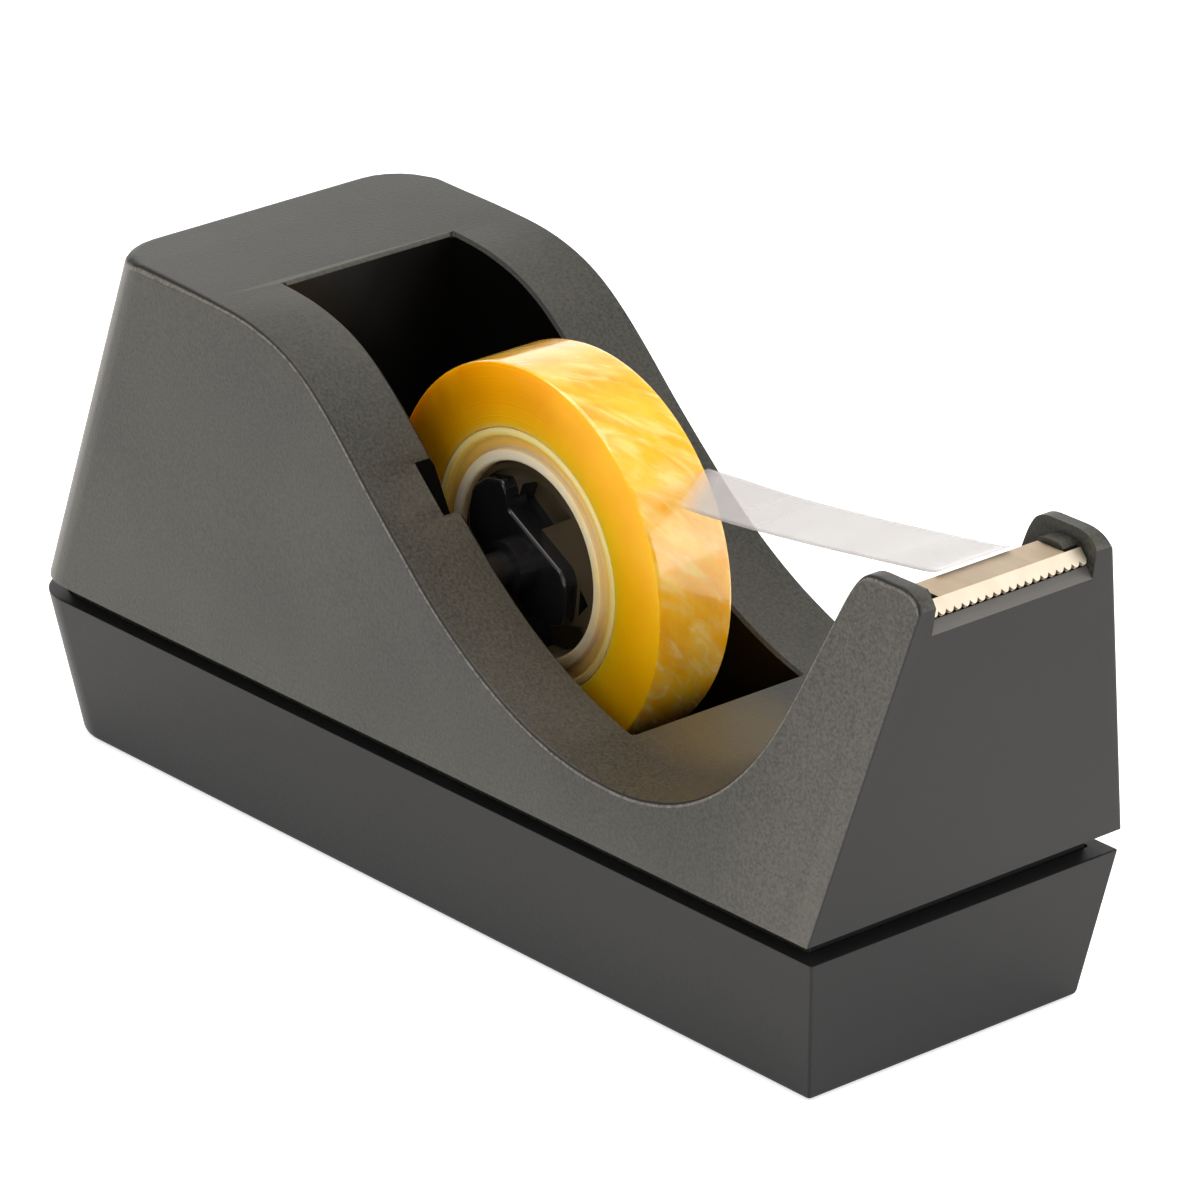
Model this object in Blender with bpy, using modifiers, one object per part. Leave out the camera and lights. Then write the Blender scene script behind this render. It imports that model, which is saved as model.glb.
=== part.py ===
# Desk tape dispenser: weighted base, open-topped housing, lift-out reel on a
# two-ended hub, toothed cutter between two ears.
# Lengths in the constants below are millimetres; S turns them into metres.
import bpy
import bmesh
import math
from mathutils import Vector, Matrix

S = 0.001

# ------------------------------------------------------------------ dimensions
SHIFT = (-3.75, 0.0, 0.3)          # body frame -> row frame (box centre, floor)

# base tray
BASE_H = 19.35
BASE_BOT = (-72.2, 71.5, 21.47)   # rear x, front x, half width
BASE_TOP = (-75.0, 75.0, 24.34)
REAR_R = 7.6                      # plan radius of the rear corners
FLOOR_T = 2.2
LEDGE_Z = 15.0
# housing
HOUS_Z = 21.72
HOUS_REAR, HOUS_FRONT, HOUS_HALF = -73.7, 74.8, 24.9
WALL = 2.2
LEAN_K0, LEAN_K1 = 0.017, 0.238   # side lean per mm of height, rear and front
# skirt that drops into the base
SKIRT = (-72.1, 71.9, 22.0, 5.3)
SKIRT_T = 2.0
# well
WELL = (-33.8, 31.1, 13.3, 14.5)  # rear x, front x, half width, floor z
WELL_T = 2.0
# reel axis
AX, AZ = 2.3, 41.6
GROOVE_DIR = (-0.46639, 0.88458)
GROOVE_R = 1.2
GROOVE_Y = 16.0
STUB_R = 2.2
PIN_R = 0.9
STUB_Y = 12.9
PIN_Y = 15.6
# tape and core
TAPE_R, TAPE_IN, TAPE_HALF = 24.9, 16.9, 5.75
CORE_OUT, CORE_IN = 16.6, 12.4
HUB_R = 12.1
HUB_TILT = (0.776, -0.631)        # long way of the hub bar in the XZ plane
# cutter
EAR_IN = 12.5
EAR_TOP = 64.9
PED_Z = 62.1
BLADE_T = 0.5
# screws
SCREW_X, SCREW_Y = 61.0, 13.0
# ballast and pad
BALLAST = (-52.0, 52.0, 18.2, 2.5, 11.7)
PAD = (-54.0, 54.0, 17.0, 0.9)

# top outline of the housing, rear to front (x, z)
TOP = [(-56.5, 69.6), (-55.9, 69.6), (-54.3, 69.6), (-52.0, 69.6), (-48.9, 69.55),
       (-44.0, 69.45), (-39.0, 69.3), (-34.0, 69.05), (-30.5, 68.8), (-27.2, 68.35),
       (-24.0, 67.6), (-21.2, 66.65), (-18.6, 65.4), (-16.2, 63.9), (-13.5, 61.8),
       (-10.9, 59.5), (-8.0, 56.7), (-4.7, 53.4), (-1.0, 49.9), (2.2, 47.0),
       (6.0, 43.6), (10.0, 40.5), (14.0, 37.8), (19.0, 35.0), (25.0, 32.4),
       (31.0, 30.6), (37.0, 29.7), (43.0, 29.6), (48.5, 30.6), (53.0, 32.4),
       (56.8, 34.9), (59.8, 37.9), (62.2, 41.2), (64.2, 44.9), (66.0, 49.2),
       (67.8, 54.0), (69.3, 58.0), (70.6, 61.3), (71.5, 63.1), (72.5, 64.3),
       (74.0, 64.9), (76.5, 64.95), (79.8, 64.9), (81.6, 64.2), (82.5, 63.0)]


# -------------------------------------------------------------------- start up
for ob in list(bpy.data.objects):
    bpy.data.objects.remove(ob, do_unlink=True)
for coll in list(bpy.data.collections):
    bpy.data.collections.remove(coll)

root = bpy.data.collections.new("tape_dispenser")
cut = bpy.data.collections.new("cutters")
bpy.context.scene.collection.children.link(root)
bpy.context.scene.collection.children.link(cut)


def material(name, color, rough, metal=0.0, alpha=1.0):
    m = bpy.data.materials.new(name)
    m.use_nodes = True
    b = m.node_tree.nodes["Principled BSDF"]
    b.inputs["Base Color"].default_value = (*color, 1.0)
    b.inputs["Roughness"].default_value = rough
    b.inputs["Metallic"].default_value = metal
    b.inputs["Alpha"].default_value = alpha
    m.diffuse_color = (*color, alpha)
    return m


M_HOUSING = material("housing", (0.060, 0.058, 0.054), 0.55)
M_BASE = material("base_tray", (0.050, 0.050, 0.049), 0.5)
M_STEEL = material("ballast_plate", (0.45, 0.45, 0.46), 0.45, 1.0)
M_PAD = material("base_pad", (0.03, 0.03, 0.03), 0.9)
M_SCREW = material("screw", (0.62, 0.62, 0.60), 0.35, 1.0)
M_BLADE = material("cutter_blade", (0.80, 0.72, 0.60), 0.3, 1.0)
M_HUB = material("reel_hub", (0.012, 0.012, 0.012), 0.25)
M_CORE = material("tape_core", (0.86, 0.82, 0.74), 0.4)
M_TAPE = material("tape_roll", (0.90, 0.58, 0.06), 0.3)
M_STRIP = material("tape_strip", (0.85, 0.86, 0.83), 0.15, 0.0, 0.4)


def smooth(ob, angle=35.0):
    for p in ob.data.polygons:
        p.use_smooth = True
    ob.data.set_sharp_from_angle(angle=math.radians(angle))


def put(name, mesh, mat=None, coll=None, origin=(0.0, 0.0, 0.0)):
    """Object from a mesh in mm body coordinates, its origin at `origin`."""
    mesh.transform(Matrix.Translation(Vector(origin) * -1.0))
    mesh.transform(Matrix.Scale(S, 4))
    ob = bpy.data.objects.new(name, mesh)
    ob.location = [(origin[i] + SHIFT[i]) * S for i in range(3)]
    if coll is None:
        coll = root
    coll.objects.link(ob)
    if coll is cut:
        ob.hide_render = True
        ob.display_type = "WIRE"
    if mat is not None:
        mesh.materials.append(mat)
    return ob


def mesh_from(verts, faces):
    me = bpy.data.meshes.new("m")
    me.from_pydata([tuple(v) for v in verts], [], faces)
    bm = bmesh.new()
    bm.from_mesh(me)
    bmesh.ops.remove_doubles(bm, verts=bm.verts, dist=0.0005)
    bmesh.ops.recalc_face_normals(bm, faces=bm.faces)
    bm.to_mesh(me)
    bm.free()
    return me


def prism(points, lo, hi, along="y"):
    """Flat outline pushed along y (outline in x,z) or z (outline in x,y)."""
    cu = bpy.data.curves.new("c", "CURVE")
    cu.dimensions = "2D"
    cu.fill_mode = "BOTH"
    sp = cu.splines.new("POLY")
    sp.points.add(len(points) - 1)
    for i, (a, b) in enumerate(points):
        sp.points[i].co = (a, b, 0.0, 1.0)
    sp.use_cyclic_u = True
    cu.extrude = abs(hi - lo) / 2.0
    tmp = bpy.data.objects.new("tmp", cu)
    bpy.context.scene.collection.objects.link(tmp)
    dg = bpy.context.evaluated_depsgraph_get()
    me = bpy.data.meshes.new_from_object(tmp.evaluated_get(dg))
    bpy.data.objects.remove(tmp, do_unlink=True)
    bpy.data.curves.remove(cu)
    mid = (hi + lo) / 2.0
    if along == "y":
        me.transform(Matrix.Translation((0, mid, 0)) @ Matrix.Rotation(math.pi / 2, 4, "X"))
    else:
        me.transform(Matrix.Translation((0, 0, mid)))
    bm = bmesh.new()
    bm.from_mesh(me)
    bmesh.ops.remove_doubles(bm, verts=bm.verts, dist=0.001)
    bmesh.ops.recalc_face_normals(bm, faces=bm.faces)
    bm.to_mesh(me)
    bm.free()
    me.materials.clear()
    return me


def box(x0, x1, y0, y1, z0, z1):
    me = bpy.data.meshes.new("b")
    bm = bmesh.new()
    bmesh.ops.create_cube(bm, size=1.0)
    bmesh.ops.scale(bm, vec=(x1 - x0, y1 - y0, z1 - z0), verts=bm.verts)
    bmesh.ops.translate(bm, vec=((x0 + x1) / 2, (y0 + y1) / 2, (z0 + z1) / 2), verts=bm.verts)
    bm.to_mesh(me)
    bm.free()
    return me


def cyl(cx, cy, cz, r, length, axis="z", seg=32):
    """Cylinder centred on (cx, cy, cz)."""
    me = bpy.data.meshes.new("cy")
    bm = bmesh.new()
    bmesh.ops.create_cone(bm, cap_ends=True, segments=seg, radius1=r, radius2=r, depth=length)
    if axis == "y":
        bmesh.ops.rotate(bm, cent=(0, 0, 0), matrix=Matrix.Rotation(math.pi / 2, 3, "X"), verts=bm.verts)
    bmesh.ops.translate(bm, vec=(cx, cy, cz), verts=bm.verts)
    bm.to_mesh(me)
    bm.free()
    return me


def boolean(ob, other, op="DIFFERENCE"):
    m = ob.modifiers.new(op.lower(), "BOOLEAN")
    m.operation = op
    m.solver = "EXACT"
    m.object = other
    return m


def bevel(ob, width, segments=3, limit="ANGLE", angle=40.0):
    m = ob.modifiers.new("bevel", "BEVEL")
    m.width = width * S
    m.segments = segments
    m.limit_method = limit
    m.angle_limit = math.radians(angle)
    m.harden_normals = False
    return m


def rounded_rect(x0, x1, half, r, rf=0.0, n=6):
    """Plan outline, rear corners rounded by r, front ones by rf."""
    pts = []
    for cx, cy, rr, a0 in ((x0 + r, -half + r, r, 180.0), (x1 - rf, -half + rf, rf, 270.0),
                           (x1 - rf, half - rf, rf, 0.0), (x0 + r, half - r, r, 90.0)):
        if rr <= 0.0:
            pts.append((cx, cy))
            continue
        for i in range(n + 1):
            a = math.radians(a0 + 90.0 * i / n)
            pts.append((cx + rr * math.cos(a), cy + rr * math.sin(a)))
    return pts


def loft(bottom, top, z0, z1):
    """Closed solid between two plan outlines with the same point count."""
    n = len(bottom)
    v = [(x, y, z0) for x, y in bottom] + [(x, y, z1) for x, y in top]
    f = [tuple(range(n))[::-1], tuple(range(n, 2 * n))]
    f += [(i, (i + 1) % n, n + (i + 1) % n, n + i) for i in range(n)]
    return mesh_from(v, f)


def turned(profile, seg, name, mat, parent_coll=None):
    """Profile (radius, y) turned about the reel axis with a Screw modifier."""
    me = bpy.data.meshes.new(name)
    v = [(r * S, 0.0, y * S) for r, y in profile]
    n = len(v)
    me.from_pydata(v, [(i, (i + 1) % n) for i in range(n)], [])
    ob = bpy.data.objects.new(name, me)
    (parent_coll or root).objects.link(ob)
    me.materials.append(mat)
    sc = ob.modifiers.new("screw", "SCREW")
    sc.axis = "Z"
    sc.angle = 2 * math.pi
    sc.steps = seg
    sc.render_steps = seg
    sc.use_merge_vertices = True
    sc.merge_threshold = 0.00001
    sc.use_smooth_shade = True
    ob.rotation_euler = (math.pi / 2, 0.0, 0.0)
    ob.location = ((AX + SHIFT[0]) * S, SHIFT[1] * S, (AZ + SHIFT[2]) * S)
    return ob


# --------------------------------------------------------------- housing shape
def lean(x):
    t = min(max((x - 20.0) / 54.0, 0.0), 1.0)
    t = t * t * (3.0 - 2.0 * t)
    return LEAN_K0 + (LEAN_K1 - LEAN_K0) * t


def top_z(x):
    for (x0, z0), (x1, z1) in zip(TOP, TOP[1:]):
        if x0 <= x <= x1:
            return z0 + (z1 - z0) * (x - x0) / (x1 - x0)
    return TOP[0][1] if x < TOP[0][0] else TOP[-1][1]


def foot_x(x):
    """Where the column under a top point meets the bottom edge."""
    xa, xb = -40.0, 56.0
    if x <= xa:
        return HOUS_REAR + (x - TOP[0][0]) / (xa - TOP[0][0]) * (xa - HOUS_REAR)
    if x >= xb:
        return xb + (x - xb) / (TOP[-1][0] - xb) * (HOUS_FRONT - xb)
    return x


def shell(top_pts, inset, z_bottom, rear, front, foot=foot_x):
    """Body whose side faces lean in towards the front. Rear corners are arcs."""
    r = REAR_R - inset
    cols = []
    n_arc = 6
    tx0 = top_pts[0][0]
    for i in range(n_arc + 1):
        a = math.radians(90.0 * i / n_arc)
        dx, dy = r * (1 - math.cos(a)), r * (1 - math.sin(a))
        half_t = HOUS_HALF - lean(tx0) * (top_pts[0][1] - HOUS_Z) - inset
        half_b = HOUS_HALF - inset
        z = top_pts[0][1]
        cols.append((rear + dx, half_b - dy, tx0 + dx, half_t - dy, z))
    start = cols[-1][2]
    for x, z in top_pts:
        if x <= start + 1.0:
            continue
        half_t = HOUS_HALF - lean(x) * (z - HOUS_Z) - inset
        half_b = HOUS_HALF - inset
        cols.append((foot(x), half_b, x, half_t, z))
    cols[-1] = (front, cols[-1][1], cols[-1][2], cols[-1][3], cols[-1][4])
    v, f = [], []
    for xb, yb, xt, yt, zt in cols:
        k = (z_bottom - HOUS_Z) / (zt - HOUS_Z)
        x0, y0 = xb + (xt - xb) * k, yb + (yt - yb) * k
        v += [(x0, -y0, z_bottom), (xt, -yt, zt), (xt, yt, zt), (x0, y0, z_bottom)]
    m = len(cols)
    for i in range(m - 1):
        a, b = 4 * i, 4 * (i + 1)
        f += [(a, b, b + 1, a + 1), (a + 2, b + 2, b + 3, a + 3)]
        if i >= n_arc:
            f += [(a + 1, b + 1, b + 2, a + 2), (a + 3, b + 3, b, a)]
    for lo_k, hi_k in ((1, 2), (0, 3)):
        f.append(tuple(4 * i + lo_k for i in range(n_arc + 1))
                 + tuple(4 * i + hi_k for i in range(n_arc, -1, -1)))
    f.append((0, 1, 2, 3))
    e = 4 * (m - 1)
    f.append((e, e + 3, e + 2, e + 1))
    me = bpy.data.meshes.new("shell")
    me.from_pydata(v, [], f)
    bm = bmesh.new()
    bm.from_mesh(me)
    bmesh.ops.recalc_face_normals(bm, faces=bm.faces)
    bm.to_mesh(me)
    bm.free()
    return me, m


def offset_down(pts, d):
    """Outline moved inwards along its own normals."""
    out = []
    for i, (x, z) in enumerate(pts):
        xa, za = pts[max(i - 1, 0)]
        xb, zb = pts[min(i + 1, len(pts) - 1)]
        tx, tz = xb - xa, zb - za
        ln = math.hypot(tx, tz)
        out.append((x + tz / ln * d, z - tx / ln * d))
    return out


me_outer, ncol = shell(TOP, 0.0, HOUS_Z, HOUS_REAR, HOUS_FRONT)
wt = me_outer.attributes.new("bevel_weight_edge", "FLOAT", "EDGE")
for e in me_outer.edges:
    a, b = e.vertices
    ca, cb, ka, kb = a // 4, b // 4, a % 4, b % 4
    if ca != cb and ka == kb and ka in (1, 2):
        x = (me_outer.vertices[a].co.x + me_outer.vertices[b].co.x) / 2
        t = min(max((x + 50.0) / 14.0, 0.0), 1.0)
        wt.data[e.index].value = 1.0 + (0.42 - 1.0) * t
    elif ca == cb == 0 and {ka, kb} == {1, 2}:
        wt.data[e.index].value = 1.0
    elif ca == cb == ncol - 1 and {ka, kb} in ({0, 1}, {2, 3}):
        wt.data[e.index].value = 0.10
housing = put("housing", me_outer, M_HOUSING)
bevel(housing, 4.4, 4, "WEIGHT")

# inside of the housing
inner_top = []
for x, z in offset_down(TOP, WALL):
    if z > 56.4 and x > 60.0:
        break
    inner_top.append((x, z))
inner_top = [(inner_top[0][0] + 2.4, inner_top[0][1])] + [q for q in inner_top if q[0] > inner_top[0][0] + 4.0]
xl, zl = inner_top[-1]
inner_top += [(xl + 2.0, zl + 0.6), (79.2, zl + 0.6)]


def foot_in(x):
    xa, xb = -40.0, 56.0
    if x <= xa:
        return HOUS_REAR + 2.3 + (x - inner_top[0][0]) / (xa - inner_top[0][0]) * (xa - HOUS_REAR - 2.3)
    if x >= xb:
        return xb + (x - xb) / (79.2 - xb) * (HOUS_FRONT - 2.3 - xb)
    return x


me_in, _ = shell(inner_top, WALL, HOUS_Z + 2.0, HOUS_REAR + 2.3, HOUS_FRONT - 2.3, foot_in)
c_cav = put("cut_cavity", me_in, coll=cut)

sk0, sk1, skh, skr = SKIRT
plan = rounded_rect(sk0, sk1, skh, skr, 0.6)
a_skirt = put("add_skirt", loft(plan, plan, LEDGE_Z + 0.3, HOUS_Z + 0.8), coll=cut)
plan = rounded_rect(sk0 + SKIRT_T, sk1 - SKIRT_T, skh - SKIRT_T, skr - SKIRT_T, 0.6)
c_skirt = put("cut_skirt", loft(plan, plan, 10.0, HOUS_Z + 2.5), coll=cut)
boolean(housing, a_skirt, "UNION")
boolean(housing, c_skirt)
boolean(housing, c_cav)

# well block under the roof, thicker where the axle grooves are
w0, w1, wh, wz = WELL


def under_roof(x0, x1, z_low, drop):
    xs = [x0] + [x for x, _ in TOP if x0 + 0.8 < x < x1 - 0.8] + [x1]
    return [(x0, z_low), (x1, z_low)] + [(x, top_z(x) - drop) for x in reversed(xs)]


a_well = put("add_well", prism(under_roof(w0 - WELL_T, w1 + WELL_T, wz - WELL_T, 1.1), -wh - WELL_T, wh + WELL_T), coll=cut)
boolean(housing, a_well, "UNION")
a_bear = put("add_bearing", prism(under_roof(-12.0, 9.0, 34.5, 1.3), -GROOVE_Y - 2.0, GROOVE_Y + 2.0), coll=cut)
boolean(housing, a_bear, "UNION")
c_well = put("cut_well", box(w0, w1, -wh, wh, wz, 90.0), coll=cut)
gx, gz = GROOVE_DIR
pts = []
for i in range(13):
    a = math.atan2(gz, gx) + math.pi / 2 + math.pi * i / 12
    pts.append((AX + GROOVE_R * math.cos(a), AZ + GROOVE_R * math.sin(a)))
pts.append((pts[-1][0] + gx * 30.0, pts[-1][1] + gz * 30.0))
pts.append((pts[0][0] + gx * 30.0, pts[0][1] + gz * 30.0))
c_groove = put("cut_groove", prism(pts, -GROOVE_Y, GROOVE_Y), coll=cut)

# screw bosses with a rib to the side wall
for sx, top, rib in ((-SCREW_X, 36.0, 23.6), (SCREW_X, 33.6, 21.4)):
    for sy in (-1, 1):
        a = put("add_boss", cyl(sx, sy * SCREW_Y, (LEDGE_Z - 1.7 + top) / 2, 3.6, top - LEDGE_Z + 1.7), coll=cut)
        boolean(housing, a, "UNION")
        y0, y1 = sorted((sy * (SCREW_Y + 2.0), sy * rib))
        a = put("add_rib", box(sx - 0.8, sx + 0.8, y0, y1, HOUS_Z + 1.0, 33.0), coll=cut)
        boolean(housing, a, "UNION")
boolean(housing, c_well)
boolean(housing, c_groove)
for sx in (-SCREW_X, SCREW_X):
    for sy in (-1, 1):
        c = put("cut_pilot", cyl(sx, sy * SCREW_Y, 18.5, 1.8, 15.0), coll=cut)
        boolean(housing, c)

# seat of the cutter between the two ears
seat = [(60.0, 54.4), (75.0, PED_Z), (79.7, PED_Z), (79.9, 60.8), (80.7, 60.7), (82.1, 59.1),
        (95.0, 59.1), (95.0, 80.0), (60.0, 80.0)]
c_seat = put("cut_seat", prism(seat, -EAR_IN, EAR_IN), coll=cut)
boolean(housing, c_seat)
for s in (-1, 1):
    lug = [(74.6, 61.6), (79.3, 61.6), (79.3, 62.9), (78.6, 63.5), (76.0, 63.5), (75.2, 63.1)]
    y0, y1 = sorted((s * 10.2, s * (EAR_IN + 0.6)))
    boolean(housing, put("add_lug", prism(lug, y0, y1), coll=cut), "UNION")
    y0, y1 = sorted((s * 3.7, s * 7.3))
    boolean(housing, put("cut_tab", box(76.9, 78.0, y0, y1, 58.4, 64.0), coll=cut))
smooth(housing, 32)

# ------------------------------------------------------------------- base tray
b0, b1, bh = BASE_BOT
t0, t1, th = BASE_TOP
base = put("base_tray", loft(rounded_rect(b0, b1, bh, REAR_R, 0.4), rounded_rect(t0, t1, th, REAR_R, 0.4), 0.0, BASE_H), M_BASE)
lo = rounded_rect(-69.4, 68.9, 19.2, 5.4, 0.8)
hi = rounded_rect(-70.2, 69.8, 20.0, 5.4, 0.8)
boolean(base, put("cut_base_low", loft(lo, hi, FLOOR_T, LEDGE_Z + 0.01), coll=cut))
hi = rounded_rect(sk0 - 0.3, sk1 + 0.3, skh + 0.3, skr + 0.3, 0.6)
boolean(base, put("cut_base_high", loft(hi, hi, LEDGE_Z, BASE_H + 4.0), coll=cut))
for s in (-1, 1):
    boolean(base, put("add_stop", box(s * 53.4 - 0.8, s * 53.4 + 0.8, -19.6, 19.6, 1.0, 9.0), coll=cut), "UNION")
for sx in (-SCREW_X, SCREW_X):
    for sy in (-1, 1):
        boolean(base, put("add_post", cyl(sx, sy * SCREW_Y, 7.0, 4.7, 12.0), coll=cut), "UNION")
for sx in (-SCREW_X, SCREW_X):
    for sy in (-1, 1):
        boolean(base, put("cut_shank", cyl(sx, sy * SCREW_Y, 8.0, 1.9, 20.0), coll=cut))
        boolean(base, put("cut_head", cyl(sx, sy * SCREW_Y, 0.6, 3.4, 5.2), coll=cut))
p0, p1, ph, pd = PAD
plan = rounded_rect(p0 - 0.3, p1 + 0.3, ph + 0.3, 3.3, 3.3)
boolean(base, put("cut_pad", loft(plan, plan, -2.0, pd), coll=cut))
smooth(base, 32)

plan = rounded_rect(p0, p1, ph, 3.0, 3.0)
pad = put("base_pad", loft(plan, plan, -SHIFT[2], pd - 0.3), M_PAD)

l0, l1, lh, lz0, lz1 = BALLAST
ballast = put("ballast_plate", box(l0, l1, -lh, lh, lz0, lz1), M_STEEL)
bevel(ballast, 0.6, 2)

# ---------------------------------------------------------------------- screws
names = {(-1, -1): "screw_rear_near", (-1, 1): "screw_rear_far",
         (1, -1): "screw_front_near", (1, 1): "screw_front_far"}
for (i, j), nm in names.items():
    x, y = i * SCREW_X, j * SCREW_Y
    scr = put(nm, cyl(0, 0, 1.9, 3.0, 2.0, seg=28), M_SCREW, origin=(0, 0, 0))
    scr.location = ((x + SHIFT[0]) * S, y * S, SHIFT[2] * S)
    sh = put("add_shank", cyl(x, y, 12.9, 1.5, 20.2, seg=20), coll=cut)
    boolean(scr, sh, "UNION")
    tip = put("cut_cross_a", box(x - 1.7, x + 1.7, y - 0.35, y + 0.35, -1.0, 2.1), coll=cut)
    boolean(scr, tip)
    tip = put("cut_cross_b", box(x - 0.35, x + 0.35, y - 1.7, y + 1.7, -1.0, 2.1), coll=cut)
    boolean(scr, tip)
    smooth(scr)

# ---------------------------------------------------------------------- cutter
z_top = PED_Z + 0.3 + BLADE_T
plate = [(75.4, z_top - BLADE_T), (79.95, z_top - BLADE_T), (80.35, z_top - 0.1), (80.2, z_top), (75.4, z_top)]
blade = put("cutter_blade", prism(plate, -9.8, 9.8), M_BLADE)
# toothed lip, cut flat and then leaned down and forwards
pitch, n_teeth = 1.22, 20
half = pitch * n_teeth / 2
flat = [(-half, -0.2)]
for i in range(n_teeth):
    flat += [(-half + pitch * i + 0.12, 1.25), (-half + pitch * (i + 0.5), 1.95)]
flat += [(half - 0.12, 1.25), (half, -0.2)]
lip_me = prism(flat, -BLADE_T / 2, BLADE_T / 2, "z")
dirn = Vector((0.66, 0.0, -0.751)).normalized()
nrm = Vector((0.751, 0.0, 0.66)).normalized()
m = Matrix((Vector((0, 1, 0)), dirn, nrm)).transposed().to_4x4()
m.translation = Vector((80.05, 0.0, z_top - 0.27))
lip_me.transform(m)
boolean(blade, put("add_lip", lip_me, coll=cut), "UNION")
for s in (-1, 1):
    y0, y1 = sorted((s * 4.0, s * 7.0))
    boolean(blade, put("add_tab", box(77.2, 77.7, y0, y1, 58.8, z_top - 0.2), coll=cut), "UNION")

# ------------------------------------------------------------------------ reel
ORG = (AX, 0.0, AZ)
H = TAPE_HALF
tape = turned([(TAPE_IN, H - 0.25), (TAPE_IN + 0.25, H), (TAPE_R - 0.3, H), (TAPE_R, H - 0.25),
               (TAPE_R, -H + 0.25), (TAPE_R - 0.3, -H), (TAPE_IN + 0.25, -H), (TAPE_IN, -H + 0.25)],
              72, "tape_roll", M_TAPE)
core = turned([(CORE_OUT, H - 0.2), (CORE_OUT - 0.2, H), (15.6, H), (15.4, H - 0.9), (13.9, H - 0.9),
               (13.7, H - 0.15), (CORE_IN + 0.3, H - 0.15), (CORE_IN, H - 0.5),
               (CORE_IN, -H + 0.5), (CORE_IN + 0.3, -H + 0.15), (13.7, -H + 0.15), (13.9, -H + 0.9),
               (15.4, -H + 0.9), (15.6, -H), (CORE_OUT - 0.2, -H), (CORE_OUT, -H + 0.2)][::-1],
              64, "tape_core", M_CORE)

ux, uz = HUB_TILT
vx, vz = -uz, ux


def uv(u, v):
    return (AX + ux * u + vx * v, AZ + uz * u + vz * v)


# outline of the end bar, and the openings in the disc, along and across the bar
bar = [uv(u, v) for u, v in (
    (-11.7, -0.5), (-10.9, 2.6), (-8.8, 5.1), (-7.4, 4.7), (-6.0, 3.3), (5.2, 5.4), (6.6, 4.8), (8.2, 2.4),
    (9.6, -0.2), (8.1, -2.8), (5.2, -4.6), (-5.2, -5.0), (-8.6, -5.4), (-10.3, -3.7))]


def bar_plate(outer, inner):
    """Hub end bar from y=inner out to y=outer, chamfered on the outer face."""
    step = 0.4 if outer > inner else -0.4
    slim = [(AX + (x - AX) * 0.95, AZ + (z - AZ) * 0.95) for x, z in bar]
    n = len(bar)
    v = []
    for loop, y in ((bar, inner), (bar, outer - step), (slim, outer)):
        v += [(x, y, z) for x, z in loop]
    f = [tuple(range(n)), tuple(range(2 * n, 3 * n))[::-1]]
    for k in (0, n):
        f += [(k + i, k + (i + 1) % n, k + n + (i + 1) % n, k + n + i) for i in range(n)]
    return mesh_from(v, f)


hub = put("reel_hub", cyl(AX, 0, AZ, HUB_R, 9.6, "y", 56), M_HUB, origin=ORG)
boolean(hub, put("cut_ring_near", cyl(AX, -5.8, AZ, HUB_R - 0.7, 3.0, "y", 56), coll=cut))
boolean(hub, put("cut_ring_far", cyl(AX, 4.6, AZ, HUB_R - 1.3, 10.4, "y", 56), coll=cut))
openings = (((-6.4, 3.0), (-7.2, 5.8), (-6.0, 8.1), (-3.5, 9.6), (0.9, 10.2), (-1.8, 3.3)),
            ((7.6, 4.4), (9.8, 3.9), (9.6, 1.2)),
            ((8.3, -3.0), (10.0, -0.4), (11.3, 1.3), (13.0, 0.5), (12.0, -5.5), (8.5, -9.5), (5.0, -7.0)))
for outline in openings:
    boolean(hub, put("cut_opening", prism([uv(u, v) for u, v in outline], -7.0, -1.6), coll=cut))
web = [uv(-11.0, -1.0), uv(11.0, -1.0), uv(11.0, 1.0), uv(-11.0, 1.0)]
boolean(hub, put("add_web", prism(web, -3.4, 6.0), coll=cut), "UNION")
boolean(hub, put("add_bar_near", bar_plate(-6.4, -3.2), coll=cut), "UNION")
boolean(hub, put("add_bar_far", bar_plate(6.4, 4.2), coll=cut), "UNION")
boolean(hub, put("add_boss", cyl(AX, 0, AZ, 3.4, 18.6, "y", 32), coll=cut), "UNION")
boolean(hub, put("add_stub", cyl(AX, 0, AZ, STUB_R, 2 * STUB_Y, "y", 32), coll=cut), "UNION")
boolean(hub, put("add_pin", cyl(AX, 0, AZ, PIN_R, 2 * PIN_Y, "y", 24), coll=cut), "UNION")
smooth(hub, 32)

# free end of the tape: leaves the roll, rests over the cutter
LINE = [(22.85, 56.75), (28.0, 57.25), (34.5, 57.7), (41.0, 58.3), (48.5, 59.2), (55.0, 60.05),
        (61.5, 61.0), (68.0, 61.95), (73.5, 62.8), (75.8, 63.36), (80.6, 63.4)]
TS = 0.3
up = offset_down(LINE, -TS / 2)
dn = offset_down(LINE, TS / 2)
strip = put("tape_strip", prism(dn + up[::-1], -H + 0.05, H - 0.05), M_STRIP)
smooth(strip, 30)
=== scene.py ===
import bpy
import bmesh
import math
from mathutils import Matrix, Vector


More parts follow.
